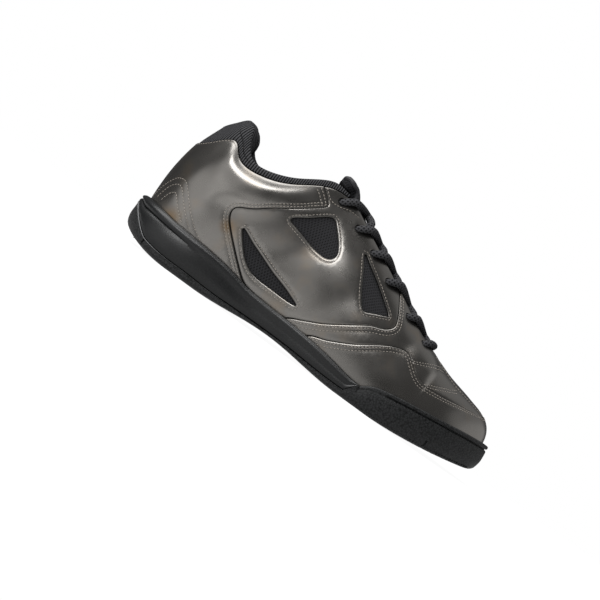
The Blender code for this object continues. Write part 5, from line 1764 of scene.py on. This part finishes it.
# %% [markdown]
# The rubber's profile has two walls: a rim round the toe with a groove under it, and a low side that ends at
# the seam with the foam. Below, both run under a rounded edge to the recess that holds the tread. Straight
# grooves across the tread and small notches in the edge are cut out of the finished solid as boxes.

# %% Outsole
WRAP_CLEAR = 0.8
LIP_DROP = 3.0
LIP_GROOVE = 1.5
LIP_START = 206.0
LIP_FADE = 8.0
# The toe's lip: insets, shares of the groove's depth, and heights above the groove.
TOE_LIP = table("inset cut above", [
    (2.4, 0.0, LIP_DROP), (1.6, 0.0, LIP_DROP - 0.15), (1.1, 0.0, LIP_DROP - 0.7), (0.95, 0.0, 1.3),
    (1.0, 0.25, 0.6), (1.0, 1.0, 0.15), (1.0, 1.0, -0.15), (0.85, 0.2, -0.6), (0.65, 0.0, -1.4),
])
SIDE_SHARES = np.linspace(0.25, 1.0, 8)
TREAD_HEIGHT = 1.1
TREAD_BORDER = 7.8
RECESS_SHARES = (0.0, 0.15, 0.3, 0.5, 0.7, 1.0)
EDGE_LIFT = 2.4


def under_core(x):
    return core_z(x) - GAP


def recess(x):
    return bottom(x) + TREAD_HEIGHT


def toe_wall(turn, side, x, low):
    """The toe's side of the rubber, from the seam inside over the rim to its middle height."""
    rim = float(TOE_RIM_Z(x))
    foot = float(INSET(turn)) - WRAP_CLEAR
    floor = float(FLOOR(plan_point(turn, side, foot)[0]))
    groove = rim - LIP_DROP
    cut = LIP_GROOVE * float(smooth_step((x - LIP_START) / LIP_FADE))
    middle = (low + groove) / 2
    wall = [(foot, under_core)]
    wall += [(beside_upper(turn, side, z, WRAP_CLEAR), z) for z in (floor, (floor + rim) / 2, rim)]
    wall += [(row.inset + row.cut * cut, groove + row.above) for row in TOE_LIP]
    wall += [(0.3, groove - 0.55 * (groove - middle)), (0.0, middle)]
    return wall, middle


def side_wall(x, low):
    """The rubber's side behind the toe, from the seam inside to its middle height."""
    joint = float(joint_z(x)) - GAP
    inner = WRAP_INSET + WRAP_THICKNESS - GAP
    middle = 0.5 * (low + joint)
    wall = [(inner, under_core), *[(inner, joint)] * 3, (0.95, joint), (0.15, joint - 0.1)]
    wall += [(0.05, joint - 0.12 * (joint - middle))]
    wall += [(0.40 - 0.15 * share, joint - share * (joint - middle)) for share in SIDE_SHARES]
    return wall, middle


def rubber_profile(turn, side):
    x = outline_x(turn)
    spine = spine_point(x)
    low = float(bottom(x))
    wall, middle = toe_wall(turn, side, x, low) if x > WRAP_START - NEXT_TO else side_wall(x, low)
    lift = min(EDGE_LIFT, 0.5 * (middle - low))
    border = plan_point(turn, side, TREAD_BORDER)
    tread = [
        (0.45, low + 0.5 * (middle - low) + 0.5 * lift),
        (1.2, low + lift),
        (2.2, lambda at: bottom(at) + 0.55 * lift),
        (3.6, lambda at: bottom(at) + 0.4),
        (5.2, bottom),
        (7.2, bottom),
        *[(border + share * (spine - border), recess) for share in RECESS_SHARES],
    ]
    return rib_profile(turn, side, [(spine, under_core), *wall, *tread])


FLEX_GROOVES = (21.5, 76.0, 172.0, 196.0, 222.0, 249.5)
NOTCH_TOPS = {21.5: 7.6, 249.5: 10.0}
GROOVE_WIDTH = 1.8
TREAD_DEPTH = 1.6
NOTCH_DEPTH = 2.2
NOTCH_WIDTH = 1.4
GROOVE_MARGIN = 6.2
BELOW_SOLE = 5.0


def groove_box(x):
    """Low and high corner of a groove across the tread, which leaves the sole's edge whole."""
    near, far = sorted(plan_point(float(turn_of(x)), side, GROOVE_MARGIN)[1] for side in SIDES)
    half = GROOVE_WIDTH / 2
    return (x - half, near, -BELOW_SOLE), (x + half, far, float(bottom(x)) + TREAD_DEPTH)


def notch_box(x, side):
    """Low and high corner of a notch in the sole's edge."""
    edge = outline(turn_of([x]), side)[0, 1]
    near, far = sorted((edge - side * BELOW_SOLE, edge + side * NOTCH_DEPTH))
    half = NOTCH_WIDTH / 2
    return (x - half, near, -BELOW_SOLE - 1.0), (x + half, far, NOTCH_TOPS[x])


# A painted highlight line along the rubber's top edge at the heel, which fades out towards the arch.
HEEL_HIGHLIGHT_POINT = 6
HEEL_HIGHLIGHT_UNTIL = 44.0
HEEL_HIGHLIGHT_FADE = 20.0
cuts = [[groove_box(x) for x in FLEX_GROOVES], [notch_box(x, side) for x in NOTCH_TOPS for side in SIDES]]
points, faces, flat = loft([rubber_profile(*place) for place in ROUND_TRIP], closed_path=True)
x = points.reshape(len(ROUND_TRIP) + 1, -1, 3)[..., 0]
edge = np.zeros(x.shape)
edge[:, HEEL_HIGHLIGHT_POINT] = smooth_step((HEEL_HIGHLIGHT_UNTIL - x[:, HEEL_HIGHLIGHT_POINT]) / HEEL_HIGHLIGHT_FADE)
skin = (points, faces, flat, edge.ravel())
new_piece("rubber_outsole", skin, RUBBER_BLACK, "outsole", 50, cuts)

# %% [markdown]
# ## Tread
# The photo does not show the underside, so it gets what such indoor soles have: short bars in a herringbone,
# with the flex grooves left free, and a row of small ribs along the edge of the forefoot, which the photo
# does show. The bars come from a second tree, whose columns lean to either side in turn.

# %% Tread
RIB_SPAN = (196.0, 286.0)
RIB_STEP = 0.5
RIB_INSET = 2.0
RIB_UP = 1.6
RIB_SIZES = {"Pitch": 2.6 * MM, "Bead Length": 1.3 * MM, "Bead Width": 2.2 * MM}
BAR_ROW = 6.0
BAR_COLUMN = 8.0
BAR_MARGIN = 12.5
BAR_CLEAR = 3.6
BAR_SPAN = (16.0, 270.0)
BAR_SUNK = 0.15
BAR_HEIGHT = TREAD_HEIGHT + BAR_SUNK
BAR_SIZES = {
    "Column Pitch": BAR_COLUMN * MM,
    "Slant": math.radians(32),
    "Bar Size": (2.6 * MM, 7.4 * MM, BAR_HEIGHT * MM),
}


def bar_tree(material):
    """A tree that sets a bar on every place, leaning to either side in turn from column to column."""
    kinds = {"Places": "Geometry", "Column Pitch": "Float", "Slant": "Float", "Bar Size": "Vector"}
    tree, given = new_tree("bars_on_places", kinds, "Bars")
    here = add_node(tree, "GeometryNodeInputPosition")
    across = add_node(tree, "ShaderNodeSeparateXYZ", {"Vector": here}, "Y")
    column = math_node(tree, "FLOOR", math_node(tree, "DIVIDE", across, given["Column Pitch"]))
    way = math_node(tree, "MULTIPLY_ADD", math_node(tree, "FLOORED_MODULO", column, 2.0), 2.0, -1.0)
    angles = add_node(tree, "ShaderNodeCombineXYZ", {"Z": math_node(tree, "MULTIPLY", way, given["Slant"])})
    turned = add_node(tree, "FunctionNodeEulerToRotation", {"Euler": angles})
    bar = add_node(tree, "GeometryNodeMeshCube", {"Size": given["Bar Size"]})
    places = add_node(tree, "GeometryNodeMeshToPoints", {"Mesh": given["Places"]})
    return finish_tree(tree, places, bar, turned, material)


def bar_places():
    """Places of the bars inside the tread's rim, clear of the flex grooves."""
    places = []
    for x in np.arange(*BAR_SPAN, BAR_ROW):
        if min(abs(x - groove) for groove in FLEX_GROOVES) < BAR_CLEAR:
            continue
        low, high = sorted(plan_point(float(turn_of(x)), side, BAR_MARGIN)[1] for side in SIDES)
        columns = np.arange(math.ceil((low + SHIFT[1]) / BAR_COLUMN), (high + SHIFT[1]) / BAR_COLUMN)
        rows = (columns + 0.5) * BAR_COLUMN - SHIFT[1]
        places += [(x, y, float(bottom(x)) + 0.5 * BAR_HEIGHT) for y in rows if y < high]
    return places


lines = []
for side in SIDES:
    turns = turn_of(np.arange(*RIB_SPAN, RIB_STEP))
    edge = plan(turns, side, np.full(len(turns), RIB_INSET))
    lines.append(np.column_stack([edge, bottom(edge[:, 0]) + RIB_UP]))
ribs = bead_tree("ribs_along_edge", RUBBER_BLACK)
grown("edge_ribs", *as_edges(lines), ribs, RIB_SIZES, "outsole_rubber")
grown("tread_bars", bar_places(), [], bar_tree(RUBBER_BLACK), BAR_SIZES, "outsole_rubber", smooth=False)

# %% [markdown]
# ## Insole
# A thin board covered with cloth lies on the sole inside the upper. It is swept like the sole, with a small
# rounded shoulder at its edge.

# %% Insole
INSOLE_THICKNESS = 4.0
INSOLE_CLEAR = 1.3
SHOULDER = 0.8


def insole_profile(turn, side):
    spine = spine_point(outline_x(turn))
    edge = float(INSET(turn)) - WALL_INNER + INSOLE_CLEAR

    def under(at):
        return FLOOR(at) + GAP

    def over(at):
        return under(at) + INSOLE_THICKNESS

    def shoulder(at):
        return over(at) - SHOULDER

    steps = [(spine, over), (edge + 4.0, over), (edge + 1.8, over), (edge + 0.8, shoulder), (edge, under)]
    return rib_profile(turn, side, [*steps, (spine, under)])


skin = loft([insole_profile(*place) for place in ROUND_TRIP], closed_path=True)
new_piece("cloth_insole", skin, INSOLE_CLOTH, "insole", crisp=50)
